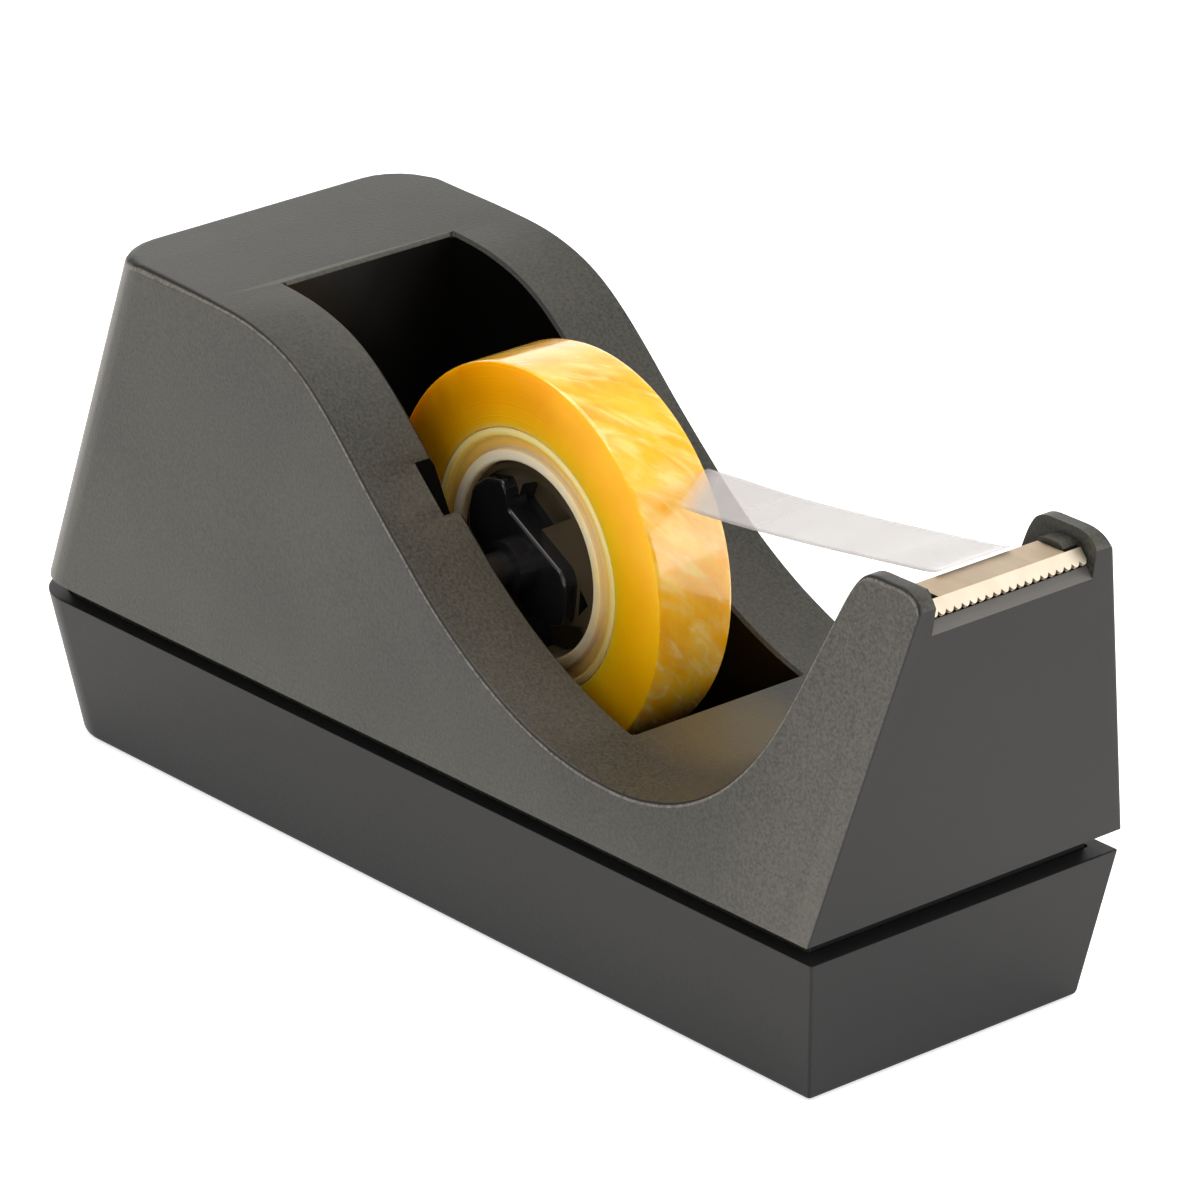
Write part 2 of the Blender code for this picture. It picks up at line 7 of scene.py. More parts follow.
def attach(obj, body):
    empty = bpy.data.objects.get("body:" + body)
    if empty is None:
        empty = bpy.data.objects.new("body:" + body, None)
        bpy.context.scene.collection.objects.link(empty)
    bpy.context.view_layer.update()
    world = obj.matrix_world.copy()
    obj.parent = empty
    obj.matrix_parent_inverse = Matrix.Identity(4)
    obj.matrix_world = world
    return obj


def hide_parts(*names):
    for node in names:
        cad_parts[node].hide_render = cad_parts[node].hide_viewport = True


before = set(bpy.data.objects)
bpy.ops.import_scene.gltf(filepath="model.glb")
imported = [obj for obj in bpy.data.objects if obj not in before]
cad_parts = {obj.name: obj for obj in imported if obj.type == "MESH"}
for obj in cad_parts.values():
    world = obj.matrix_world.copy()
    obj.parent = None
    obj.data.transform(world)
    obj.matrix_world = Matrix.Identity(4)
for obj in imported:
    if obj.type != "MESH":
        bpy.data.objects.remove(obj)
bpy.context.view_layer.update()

S = 0.001
SHIFT = Vector((-3.75, 0.0, 0.3))
scene = bpy.context.scene


# ------------------------------------------------------------------ node help
def new_mat(name):
    m = bpy.data.materials.new(name)
    m.use_nodes = True
    nt = m.node_tree
    return m, nt, nt.nodes["Principled BSDF"]


def node(nt, kind, **kw):
    n = nt.nodes.new(kind)
    for k, v in kw.items():
        if k in ("label", "operation", "blend_type", "data_type", "wave_type", "bands_direction",
                 "rings_direction", "wave_profile", "feature", "noise_dimensions", "musgrave_type",
                 "clamp", "use_clamp", "interpolation_type", "distance_metric", "noise_type",
                 "voronoi_dimensions", "normalize"):
            setattr(n, k, v)
        else:
            n.inputs[k.replace("_", " ")].default_value = v
    return n


def obj_coords(nt, scale=(1, 1, 1), loc=(0, 0, 0), rot=(0, 0, 0)):
    tc = nt.nodes.new("ShaderNodeTexCoord")
    mp = nt.nodes.new("ShaderNodeMapping")
    mp.inputs["Scale"].default_value = scale
    mp.inputs["Location"].default_value = loc
    mp.inputs["Rotation"].default_value = rot
    nt.links.new(tc.outputs["Object"], mp.inputs["Vector"])
    return mp.outputs["Vector"]


def noise(nt, vec, scale, detail=3.0, rough=0.5, distortion=0.0):
    n = nt.nodes.new("ShaderNodeTexNoise")
    n.inputs["Scale"].default_value = scale
    n.inputs["Detail"].default_value = detail
    n.inputs["Roughness"].default_value = rough
    n.inputs["Distortion"].default_value = distortion
    nt.links.new(vec, n.inputs["Vector"])
    return n.outputs["Fac"]


def ramp(nt, fac, stops):
    r = nt.nodes.new("ShaderNodeValToRGB")
    cr = r.color_ramp
    while len(cr.elements) < len(stops):
        cr.elements.new(0.5)
    for e, (p, c) in zip(cr.elements, stops):
        e.position = p
        e.color = (*c, 1.0) if len(c) == 3 else c
    nt.links.new(fac, r.inputs["Fac"])
    return r.outputs["Color"]


def maprange(nt, val, a, b, c, d):
    n = nt.nodes.new("ShaderNodeMapRange")
    n.inputs["From Min"].default_value = a
    n.inputs["From Max"].default_value = b
    n.inputs["To Min"].default_value = c
    n.inputs["To Max"].default_value = d
    nt.links.new(val, n.inputs["Value"])
    return n.outputs["Result"]


def math_node(nt, op, a, b=None, c=None):
    n = nt.nodes.new("ShaderNodeMath")
    n.operation = op
    for i, v in enumerate((a, b, c)):
        if v is None:
            continue
        if isinstance(v, (int, float)):
            n.inputs[i].default_value = v
        else:
            nt.links.new(v, n.inputs[i])
    return n.outputs[0]


def mix_col(nt, fac, a, b, blend="MIX"):
    n = nt.nodes.new("ShaderNodeMix")
    n.data_type = "RGBA"
    n.blend_type = blend
    if isinstance(fac, (int, float)):
        n.inputs[0].default_value = fac
    else:
        nt.links.new(fac, n.inputs[0])
    for i, v in ((6, a), (7, b)):
        if isinstance(v, tuple):
            n.inputs[i].default_value = (*v, 1.0) if len(v) == 3 else v
        else:
            nt.links.new(v, n.inputs[i])
    return n.outputs[2]


def bump(nt, height, strength, dist, normal=None):
    b = nt.nodes.new("ShaderNodeBump")
    b.inputs["Strength"].default_value = strength
    b.inputs["Distance"].default_value = dist
    nt.links.new(height, b.inputs["Height"])
    if normal is not None:
        nt.links.new(normal, b.inputs["Normal"])
    return b.outputs["Normal"]


def edge_wear_and_highlight(nt, lo=0.52, hi=0.62):
    g = nt.nodes.new("ShaderNodeNewGeometry")
    return maprange(nt, g.outputs["Pointiness"], lo, hi, 0.0, 1.0)


# ------------------------------------------------------------------- materials
def crease_highlight_shade_masks(nt):
    """Painted highlight and painted shade lines that follow the long rounded creases, picked by which way the surface
    faces.
    """
    tc = nt.nodes.new("ShaderNodeTexCoord")
    sp = nt.nodes.new("ShaderNodeSeparateXYZ")
    nt.links.new(tc.outputs["Normal"], sp.inputs[0])
    ny = math_node(nt, "ABSOLUTE", sp.outputs[1])
    up = maprange(nt, sp.outputs[2], 0.10, 0.20, 0.0, 1.0)
    light = ramp(nt, ny, [(0.0, (0, 0, 0)), (0.70, (0, 0, 0)), (0.82, (1, 1, 1)), (0.94, (1, 1, 1)), (0.988, (0, 0, 0))])
    dark = ramp(nt, ny, [(0.0, (0, 0, 0)), (0.26, (0, 0, 0)), (0.46, (1, 1, 1)), (0.64, (1, 1, 1)), (0.74, (0, 0, 0))])
    return math_node(nt, "MULTIPLY", light, up), math_node(nt, "MULTIPLY", dark, up)


def textured_plastic(name, dark, light, rough, grain, depth, wear_and_highlight=0.35, speck=0.5, crease_light_paint=False, spec=0.5, roll_bounce_paint=False):
    m, nt, b = new_mat(name)
    v = obj_coords(nt)
    n1 = noise(nt, v, grain, 4.0, 0.65)
    n2 = noise(nt, v, grain * 2.7, 2.0, 0.5)
    n3 = noise(nt, v, 38.0, 3.0, 0.5)
    spk = math_node(nt, "MULTIPLY", maprange(nt, n1, 0.35, 0.68, 0.0, 1.0), speck)
    mott = maprange(nt, n3, 0.35, 0.7, 0.0, 0.35)
    fac = math_node(nt, "ADD", spk, mott)
    col = mix_col(nt, fac, dark, light)
    # convex edges lightened by pointiness: partly real edge wear, partly a painted highlight
    w = math_node(nt, "MULTIPLY", edge_wear_and_highlight(nt), wear_and_highlight)
    col = mix_col(nt, w, col, tuple(min(1.0, c * 3.0) for c in light))
    if roll_bounce_paint:
        # painted reflection: warm yellow bounce light from the roll painted into the valley colour, strongest in front
        # of the roll
        tc = nt.nodes.new("ShaderNodeTexCoord")
        mp = nt.nodes.new("ShaderNodeMapping")
        mp.inputs["Location"].default_value = (-0.0335 * 62.0, 0.0030 * 80.0, -0.0300 * 110.0)
        mp.inputs["Scale"].default_value = (62.0, 80.0, 110.0)
        nt.links.new(tc.outputs["Object"], mp.inputs["Vector"])
        ln = nt.nodes.new("ShaderNodeVectorMath")
        ln.operation = "LENGTH"
        nt.links.new(mp.outputs["Vector"], ln.inputs[0])
        col = mix_col(nt, maprange(nt, ln.outputs["Value"], 0.35, 1.0, 0.62, 0.0), col, (0.125, 0.088, 0.026))
    if crease_light_paint:
        # painted highlight line and painted shade line along the creases
        cl, cd = crease_highlight_shade_masks(nt)
        col = mix_col(nt, math_node(nt, "MULTIPLY", cl, maprange(nt, n1, 0.35, 0.6, 0.35, 1.0)), col,
                      (0.175, 0.160, 0.140))
        col = mix_col(nt, math_node(nt, "MULTIPLY", cd, 0.92), col, (0.006, 0.006, 0.005))
    nt.links.new(col, b.inputs["Base Color"])
    nt.links.new(maprange(nt, n1, 0.3, 0.7, rough - 0.06, rough + 0.08), b.inputs["Roughness"])
    h = math_node(nt, "ADD", math_node(nt, "MULTIPLY", n1, 0.7), math_node(nt, "MULTIPLY", n2, 0.3))
    nt.links.new(bump(nt, h, 0.55, depth), b.inputs["Normal"])
    b.inputs["Specular IOR Level"].default_value = spec
    return m


# housing plastic; the valley gets a painted warm reflection from the roll
M_HOUSING = textured_plastic("housing_spark", (0.0095, 0.0097, 0.0080), (0.0475, 0.0475, 0.0385), 0.42, 2300.0, 0.00016,
                             wear_and_highlight=0.35, speck=0.9, crease_light_paint=True, spec=0.33, roll_bounce_paint=True)
# lighter copy of the housing plastic for the chamfer band at the top of the front panel: painted reflection
M_EDGE_SHEEN = textured_plastic("panel_edge_painted_sheen", (0.095, 0.089, 0.083), (0.12, 0.112, 0.104), 0.36, 5200.0, 0.00002, 0.2, 0.3)
# smooth front panel plastic, kept darker than the housing to paint in the shade on the front face
M_PANEL_SHADE = textured_plastic("housing_panel_smooth_painted_shade", (0.009, 0.009, 0.009), (0.012, 0.012, 0.012), 0.40, 5200.0, 0.00002,
                           0.2, 0.3, spec=0.22)
M_BASE = textured_plastic("tray_satin", (0.0095, 0.0095, 0.0095), (0.0135, 0.0135, 0.0135), 0.40, 4200.0, 0.00003,
                          0.3, 0.3, spec=0.19)


def gloss_black(name, rough=0.14, col=(0.006, 0.006, 0.0065), spec=0.5):
    m, nt, b = new_mat(name)
    v = obj_coords(nt)
    n1 = noise(nt, v, 900.0, 2.0)
    n2 = noise(nt, v, 60.0, 3.0)
    c = mix_col(nt, maprange(nt, n2, 0.4, 0.7, 0.0, 1.0), col, tuple(x * 1.8 for x in col))
    nt.links.new(c, b.inputs["Base Color"])
    nt.links.new(maprange(nt, n2, 0.3, 0.7, rough - 0.03, rough + 0.08), b.inputs["Roughness"])
    nt.links.new(bump(nt, n1, 0.15, 0.00002), b.inputs["Normal"])
    b.inputs["Specular IOR Level"].default_value = spec
    return m


# near-black smooth gloss for the well inside and the recess under the cutter lip: painted shade on the same housing
# plastic
M_WELL_SHADE = gloss_black("well_wall_gloss_painted_shade", 0.30, (0.002, 0.002, 0.002), spec=0.22)
# near-black matt for the axle grooves in the well walls: painted shade
M_GROOVE_SHADE = gloss_black("groove_matt_painted_shade", 0.75, (0.0015, 0.0015, 0.0014), spec=0.02)
M_HUB = gloss_black("hub_gloss", 0.16)
# tan copy of the black hub plastic for its disc faces: painted amber light
M_DISC_AMBER_LIGHT = gloss_black("hub_disc_satin_painted_amber", 0.34, (0.040, 0.029, 0.015))


def metal(name, a, b_, rough, grain=(1, 1, 1), bumpd=0.00001):
    m, nt, b = new_mat(name)
    v = obj_coords(nt, scale=grain)
    n1 = noise(nt, v, 700.0, 4.0, 0.6)
    n2 = noise(nt, v, 120.0, 3.0, 0.5)
    col = mix_col(nt, maprange(nt, n2, 0.35, 0.65, 0.0, 1.0), a, b_)
    nt.links.new(col, b.inputs["Base Color"])
    b.inputs["Metallic"].default_value = 1.0
    nt.links.new(maprange(nt, n1, 0.3, 0.7, rough - 0.06, rough + 0.1), b.inputs["Roughness"])
    nt.links.new(bump(nt, n1, 0.3, bumpd), b.inputs["Normal"])
    return m


# warm champagne tint stands in for the warm surroundings the metal reflects: painted reflection
M_BLADE = metal("cutter_nickel", (0.56, 0.44, 0.305), (0.42, 0.32, 0.21), 0.36, (0.25, 1.0, 1.0))
# lighter copy of the cutter metal for the forward-facing lip: painted highlight
M_LIP_HIGHLIGHT = metal("cutter_lip_painted_highlight", (0.84, 0.74, 0.59), (0.70, 0.60, 0.46), 0.42, (0.25, 1.0, 1.0))
M_SCREW = metal("screw_zinc", (0.62, 0.62, 0.60), (0.50, 0.50, 0.49), 0.32)
M_STEEL = metal("ballast_steel", (0.42, 0.42, 0.43), (0.30, 0.30, 0.31), 0.45, (0.2, 1, 1))


def foam(name):
    m, nt, b = new_mat(name)
    v = obj_coords(nt)
    vo = nt.nodes.new("ShaderNodeTexVoronoi")
    vo.inputs["Scale"].default_value = 1400.0
    nt.links.new(v, vo.inputs["Vector"])
    n = noise(nt, v, 300.0, 3.0)
    col = mix_col(nt, n, (0.020, 0.020, 0.021), (0.045, 0.045, 0.046))
    nt.links.new(col, b.inputs["Base Color"])
    b.inputs["Roughness"].default_value = 0.92
    nt.links.new(bump(nt, vo.outputs["Distance"], 0.6, 0.0001), b.inputs["Normal"])
    return m


M_PAD = foam("foam_pad")


def radius(nt):
    """Distance from the reel axis, in millimetres, from the piece's own coordinates."""
    tc = nt.nodes.new("ShaderNodeTexCoord")
    sp = nt.nodes.new("ShaderNodeSeparateXYZ")
    nt.links.new(tc.outputs["Object"], sp.inputs[0])
    x2 = math_node(nt, "POWER", math_node(nt, "ABSOLUTE", sp.outputs[0]), 2.0)
    z2 = math_node(nt, "POWER", math_node(nt, "ABSOLUTE", sp.outputs[2]), 2.0)
    r = math_node(nt, "SQRT", math_node(nt, "ADD", x2, z2))
    return math_node(nt, "MULTIPLY", r, 1000.0), tc, sp


def wound_tape(name):
    m, nt, b = new_mat(name)
    r, tc, sp = radius(nt)
    rn = nt.nodes.new("ShaderNodeTexNoise")
    rn.noise_dimensions = "1D"
    rn.inputs["Scale"].default_value = 5.0
    rn.inputs["Detail"].default_value = 5.0
    rn.inputs["Roughness"].default_value = 0.75
    nt.links.new(r, rn.inputs["W"])
    ring = maprange(nt, rn.outputs["Fac"], 0.3, 0.7, 0.0, 1.0)
    v = obj_coords(nt)
    big = noise(nt, v, 55.0, 3.0, 0.55, 0.6)
    side = ramp(nt, maprange(nt, r, 16.7, 25.0, 0.0, 1.0),
                [(0.0, (0.94, 0.54, 0.08)), (0.10, (0.90, 0.44, 0.005)), (0.5, (0.82, 0.35, 0.0)),
                 (1.0, (0.90, 0.42, 0.0))])
    side = mix_col(nt, math_node(nt, "MULTIPLY", ring, 0.5), side, (0.55, 0.21, 0.0))
    # painted shade on the rear part of the side face and painted light on the front part, standing in for light passing
    # through the roll
    side = mix_col(nt, maprange(nt, sp.outputs[0], -0.0165, -0.004, 0.72, 0.0), side, (0.40, 0.17, 0.0))
    side = mix_col(nt, maprange(nt, sp.outputs[0], 0.004, 0.016, 0.0, 0.6), side, (0.92, 0.45, 0.0))
    side = mix_col(nt, maprange(nt, big, 0.45, 0.75, 0.0, 0.5), side, (0.98, 0.58, 0.01))
    nt.links.new(side, b.inputs["Base Color"])
    b.inputs["Roughness"].default_value = 0.26
    b.inputs["Subsurface Weight"].default_value = 0.6
    b.inputs["Subsurface Radius"].default_value = (1.0, 0.40, 0.02)
    b.inputs["Subsurface Scale"].default_value = 0.006
    b.inputs["Specular IOR Level"].default_value = 0.2
    b.inputs["Coat Weight"].default_value = 0.06
    b.inputs["Coat Roughness"].default_value = 0.15
    nt.links.new(bump(nt, rn.outputs["Fac"], 0.35, 0.00006), b.inputs["Normal"])
    return m


def tread_tape(name):
    m, nt, b = new_mat(name)
    tc = nt.nodes.new("ShaderNodeTexCoord")
    sp = nt.nodes.new("ShaderNodeSeparateXYZ")
    nt.links.new(tc.outputs["Object"], sp.inputs[0])
    # streaks run slantwise round the roll
    ang = math_node(nt, "ARCTAN2", sp.outputs[2], sp.outputs[0])
    cmb = nt.nodes.new("ShaderNodeCombineXYZ")
    nt.links.new(math_node(nt, "ADD", math_node(nt, "MULTIPLY", ang, 2.6), math_node(nt, "MULTIPLY", sp.outputs[1], 90.0)),
                 cmb.inputs[0])
    nt.links.new(math_node(nt, "MULTIPLY", sp.outputs[1], 60.0), cmb.inputs[1])
    soft = noise(nt, cmb.outputs[0], 1.9, 2.0, 0.5, 0.6)
    haze = noise(nt, cmb.outputs[0], 3.2, 3.0, 0.55, 0.8)
    fine = noise(nt, obj_coords(nt, scale=(0.15, 1.0, 0.15)), 900.0, 3.0, 0.6)
    col = ramp(nt, maprange(nt, soft, 0.30, 0.72, 0.0, 1.0),
               [(0.0, (0.78, 0.34, 0.0)), (0.45, (0.85, 0.41, 0.002)), (1.0, (0.89, 0.50, 0.02))])
    col = mix_col(nt, maprange(nt, haze, 0.46, 0.70, 0.0, 0.55), col, (0.85, 0.71, 0.26))
    col = mix_col(nt, maprange(nt, fine, 0.4, 0.7, 0.0, 0.15), col, (0.95, 0.68, 0.08))
    nt.links.new(col, b.inputs["Base Color"])
    nt.links.new(maprange(nt, haze, 0.35, 0.7, 0.16, 0.32), b.inputs["Roughness"])
    b.inputs["Subsurface Weight"].default_value = 0.4
    b.inputs["Subsurface Radius"].default_value = (1.0, 0.35, 0.02)
    b.inputs["Subsurface Scale"].default_value = 0.004
    b.inputs["Coat Weight"].default_value = 0.9
    b.inputs["Coat Roughness"].default_value = 0.07
    b.inputs["Specular IOR Level"].default_value = 0.35
    h = math_node(nt, "ADD", soft, math_node(nt, "MULTIPLY", fine, 0.05))
    nt.links.new(bump(nt, h, 0.25, 0.00025), b.inputs["Normal"])
    return m


M_TAPE_SIDE = wound_tape("tape_wound_side")
M_TREAD = tread_tape("tape_wound_tread")


def milky(name):
    m, nt, b = new_mat(name)
    v = obj_coords(nt)
    n = noise(nt, v, 90.0, 3.0)
    r, tc, sp = radius(nt)
    band = ramp(nt, maprange(nt, r, 12.4, 16.6, 0.0, 1.0),
                [(0.0, (0.68, 0.55, 0.36)), (0.10, (0.76, 0.66, 0.50)), (0.36, (0.72, 0.59, 0.40)),
                 (0.46, (0.84, 0.50, 0.10)), (0.80, (0.90, 0.56, 0.12)), (0.9, (0.95, 0.70, 0.28))])
    col = mix_col(nt, maprange(nt, n, 0.42, 0.72, 0.0, 0.55), band, (0.90, 0.56, 0.12))
    # painted shade: the lower part of the core darkened
    col = mix_col(nt, maprange(nt, sp.outputs[2], -0.0135, -0.002, 0.62, 0.0), col, (0.26, 0.17, 0.08))
    nt.links.new(col, b.inputs["Base Color"])
    b.inputs["Roughness"].default_value = 0.28
    b.inputs["Subsurface Weight"].default_value = 0.6
    b.inputs["Subsurface Radius"].default_value = (1.0, 0.7, 0.3)
    b.inputs["Subsurface Scale"].default_value = 0.004
    nt.links.new(bump(nt, noise(nt, v, 1500.0, 2.0), 0.1, 0.00002), b.inputs["Normal"])
    return m


M_CORE = milky("core_milky")


def film(name):
    m, nt, b = new_mat(name)
    v = obj_coords(nt, rot=(0.0, 0.0, 0.9))
    n = noise(nt, obj_coords(nt, scale=(1.0, 0.25, 1.0), rot=(0.0, 0.0, 0.9)), 110.0, 2.0, 0.4, 0.1)
    wv = nt.nodes.new("ShaderNodeTexWave")
    wv.wave_type = "BANDS"
    wv.bands_direction = "X"
    wv.inputs["Scale"].default_value = 75.0
    wv.inputs["Distortion"].default_value = 1.2
    wv.inputs["Detail"].default_value = 2.0
    nt.links.new(v, wv.inputs["Vector"])
    col = mix_col(nt, maprange(nt, n, 0.4, 0.7, 0.0, 1.0), (0.350, 0.346, 0.332), (0.378, 0.350, 0.340))
    col = mix_col(nt, maprange(nt, wv.outputs["Fac"], 0.93, 1.0, 0.0, 0.5), col, (0.40, 0.33, 0.31))
    nt.links.new(col, b.inputs["Base Color"])
    tc = nt.nodes.new("ShaderNodeTexCoord")
    sp = nt.nodes.new("ShaderNodeSeparateXYZ")
    nt.links.new(tc.outputs["Object"], sp.inputs[0])
    slant = math_node(nt, "ADD", sp.outputs[0], math_node(nt, "MULTIPLY", sp.outputs[1], 0.79))
    near = maprange(nt, slant, 0.0218, 0.0262, 0.06, 1.0)
    rest = maprange(nt, sp.outputs[0], 0.0713, 0.0722, 1.0, 0.05)
    a = math_node(nt, "MULTIPLY", maprange(nt, n, 0.35, 0.7, 0.58, 0.66), math_node(nt, "MULTIPLY", near, rest))
    nt.links.new(a, b.inputs["Alpha"])
    b.inputs["Roughness"].default_value = 0.22
    b.inputs["Coat Weight"].default_value = 0.3
    nt.links.new(bump(nt, wv.outputs["Fac"], 0.03, 0.00002), b.inputs["Normal"])
    return m


M_FILM = film("film_clear")

# --------------------------------------------------------------- body outlines
TOP = [(-56.5, 69.6), (-55.9, 69.6), (-54.3, 69.6), (-52.0, 69.6), (-48.9, 69.55),
       (-44.0, 69.45), (-39.0, 69.3), (-34.0, 69.05), (-30.5, 68.8), (-27.2, 68.35),
       (-24.0, 67.6), (-21.2, 66.65), (-18.6, 65.4), (-16.2, 63.9), (-13.5, 61.8),
       (-10.9, 59.5), (-8.0, 56.7), (-4.7, 53.4), (-1.0, 49.9), (2.2, 47.0),
       (6.0, 43.6), (10.0, 40.5), (14.0, 37.8), (19.0, 35.0), (25.0, 32.4),
       (31.0, 30.6), (37.0, 29.7), (43.0, 29.6), (48.5, 30.6), (53.0, 32.4),
       (56.8, 34.9), (59.8, 37.9), (62.2, 41.2), (64.2, 44.9), (66.0, 49.2),
       (67.8, 54.0), (69.3, 58.0), (70.6, 61.3), (71.5, 63.1), (72.5, 64.3),
       (74.0, 64.9), (76.5, 64.95), (79.8, 64.9), (81.6, 64.2), (82.5, 63.0)]
HOUS_Z, HOUS_REAR, HOUS_FRONT, HOUS_HALF = 21.72, -73.7, 74.8, 24.9
WALL, REAR_R = 2.2, 7.6
WELL = (-33.8, 31.1, 13.3, 14.5)
AX, AZ = 2.3, 41.6
GROOVE_DIR = (-0.46639, 0.88458)
GROOVE_R, GROOVE_Y = 1.2, 16.0
EAR_IN, PED_Z = 12.5, 62.1
SKIRT, SKIRT_T, LEDGE_Z = (-72.1, 71.9, 22.0, 5.3), 2.0, 15.0
SCREW_X, SCREW_Y = 61.0, 13.0


def fine(pts, sub, first, last):
    """Catmull-Rom points between the given ones, from index first to last."""
    out = []
    for i in range(len(pts) - 1):
        out.append(pts[i])
        if i < first or i >= last:
            continue
        p0, p1, p2, p3 = (Vector(pts[max(i - 1, 0)]), Vector(pts[i]), Vector(pts[i + 1]),
                          Vector(pts[min(i + 2, len(pts) - 1)]))
        for k in range(1, sub):
            t = k / sub
            q = 0.5 * ((2 * p1) + (p2 - p0) * t + (2 * p0 - 5 * p1 + 4 * p2 - p3) * t * t
                       + (3 * p1 - p0 - 3 * p2 + p3) * t ** 3)
            out.append((q[0], min(q[1], 69.6)))
    out.append(pts[-1])
    return out


TOPF = fine(TOP, 3, 5, len(TOP) - 1)


def lean(x):
    t = min(max((x - 20.0) / 54.0, 0.0), 1.0)
    t = t * t * (3.0 - 2.0 * t)
    return 0.017 + (0.238 - 0.017) * t


def top_z(x):
    for (x0, z0), (x1, z1) in zip(TOPF, TOPF[1:]):
        if x0 <= x <= x1:
            return z0 + (z1 - z0) * (x - x0) / (x1 - x0)
    return TOPF[0][1] if x < TOPF[0][0] else TOPF[-1][1]


temp = []


def to_obj(name, mesh, mat=None, keep=False, origin=(0, 0, 0)):
    mesh.transform(Matrix.Translation(SHIFT - Vector(origin) - (SHIFT if origin != (0, 0, 0) else Vector((0, 0, 0)))))
    mesh.transform(Matrix.Scale(S, 4))
    ob = bpy.data.objects.new(name, mesh)
    if origin != (0, 0, 0):
        ob.location = (Vector(origin) + SHIFT) * S
    scene.collection.objects.link(ob)
    if mat is not None:
        mesh.materials.append(mat)
    if not keep:
        temp.append(ob)
    return ob


def prism(points, lo, hi, along="y"):
    bm = bmesh.new()
    v = [bm.verts.new((a, lo, b) if along == "y" else (a, b, lo)) for a, b in points]
    f = bm.faces.new(v)
    r = bmesh.ops.extrude_face_region(bm, geom=[f])
    d = (0, hi - lo, 0) if along == "y" else (0, 0, hi - lo)
    bmesh.ops.translate(bm, vec=d, verts=[e for e in r["geom"] if isinstance(e, bmesh.types.BMVert)])
    bmesh.ops.recalc_face_normals(bm, faces=bm.faces)
    me = bpy.data.meshes.new("p")
    bm.to_mesh(me)
    bm.free()
    return me


def block(x0, x1, y0, y1, z0, z1):
    return prism([(x0, y0), (x1, y0), (x1, y1), (x0, y1)], z0, z1, "z")


def cyl(cx, cy, cz, r, length, axis="z", seg=64):
    pts = [(r * math.cos(2 * math.pi * i / seg), r * math.sin(2 * math.pi * i / seg)) for i in range(seg)]
    if axis == "y":
        return prism([(cx + a, cz + b) for a, b in pts], cy - length / 2, cy + length / 2, "y")
    return prism([(cx + a, cy + b) for a, b in pts], cz - length / 2, cz + length / 2, "z")


def loft(loops):
    """Closed solid through several outlines [(points, z)] with one point count."""
    n = len(loops[0][0])
    bm = bmesh.new()
    rows = [[bm.verts.new((x, y, z)) for x, y in pts] for pts, z in loops]
    for a, b in zip(rows, rows[1:]):
        for i in range(n):
            bm.faces.new((a[i], a[(i + 1) % n], b[(i + 1) % n], b[i]))
    bm.faces.new(rows[0][::-1])
    bm.faces.new(rows[-1])
    bmesh.ops.recalc_face_normals(bm, faces=bm.faces)
    me = bpy.data.meshes.new("l")
    bm.to_mesh(me)
    bm.free()
    return me


def rounded_rect(x0, x1, half, r, rf=0.0, n=12):
    pts = []
    for cx, cy, rr, a0 in ((x0 + r, -half + r, r, 180.0), (x1 - rf, -half + rf, rf, 270.0),
                           (x1 - rf, half - rf, rf, 0.0), (x0 + r, half - r, r, 90.0)):
        if rr <= 0.0:
            pts.append((cx, cy))
            continue
        for i in range(n + 1):
            a = math.radians(a0 + 90.0 * i / n)
            pts.append((cx + rr * math.cos(a), cy + rr * math.sin(a)))
    return pts


def boolean(ob, other, op="DIFFERENCE"):
    m = ob.modifiers.new("b", "BOOLEAN")
    m.operation = op
    m.solver = "EXACT"
    m.object = other


def settle(ob, angle=32.0, weighted=True):
    """Applies the modifiers, then smooth shading with area-weighted normals."""
    dg = bpy.context.evaluated_depsgraph_get()
    me = bpy.data.meshes.new_from_object(ob.evaluated_get(dg))
    mats = list(ob.data.materials)
    ob.modifiers.clear()
    ob.data = me
    if not me.materials:
        for m in mats:
            me.materials.append(m)
    for p in me.polygons:
        p.use_smooth = True
    me.set_sharp_from_angle(angle=math.radians(angle))
    if weighted:
        w = ob.modifiers.new("wn", "WEIGHTED_NORMAL")
        w.mode = "FACE_AREA"
        w.weight = 80
        w.keep_sharp = True
    return ob


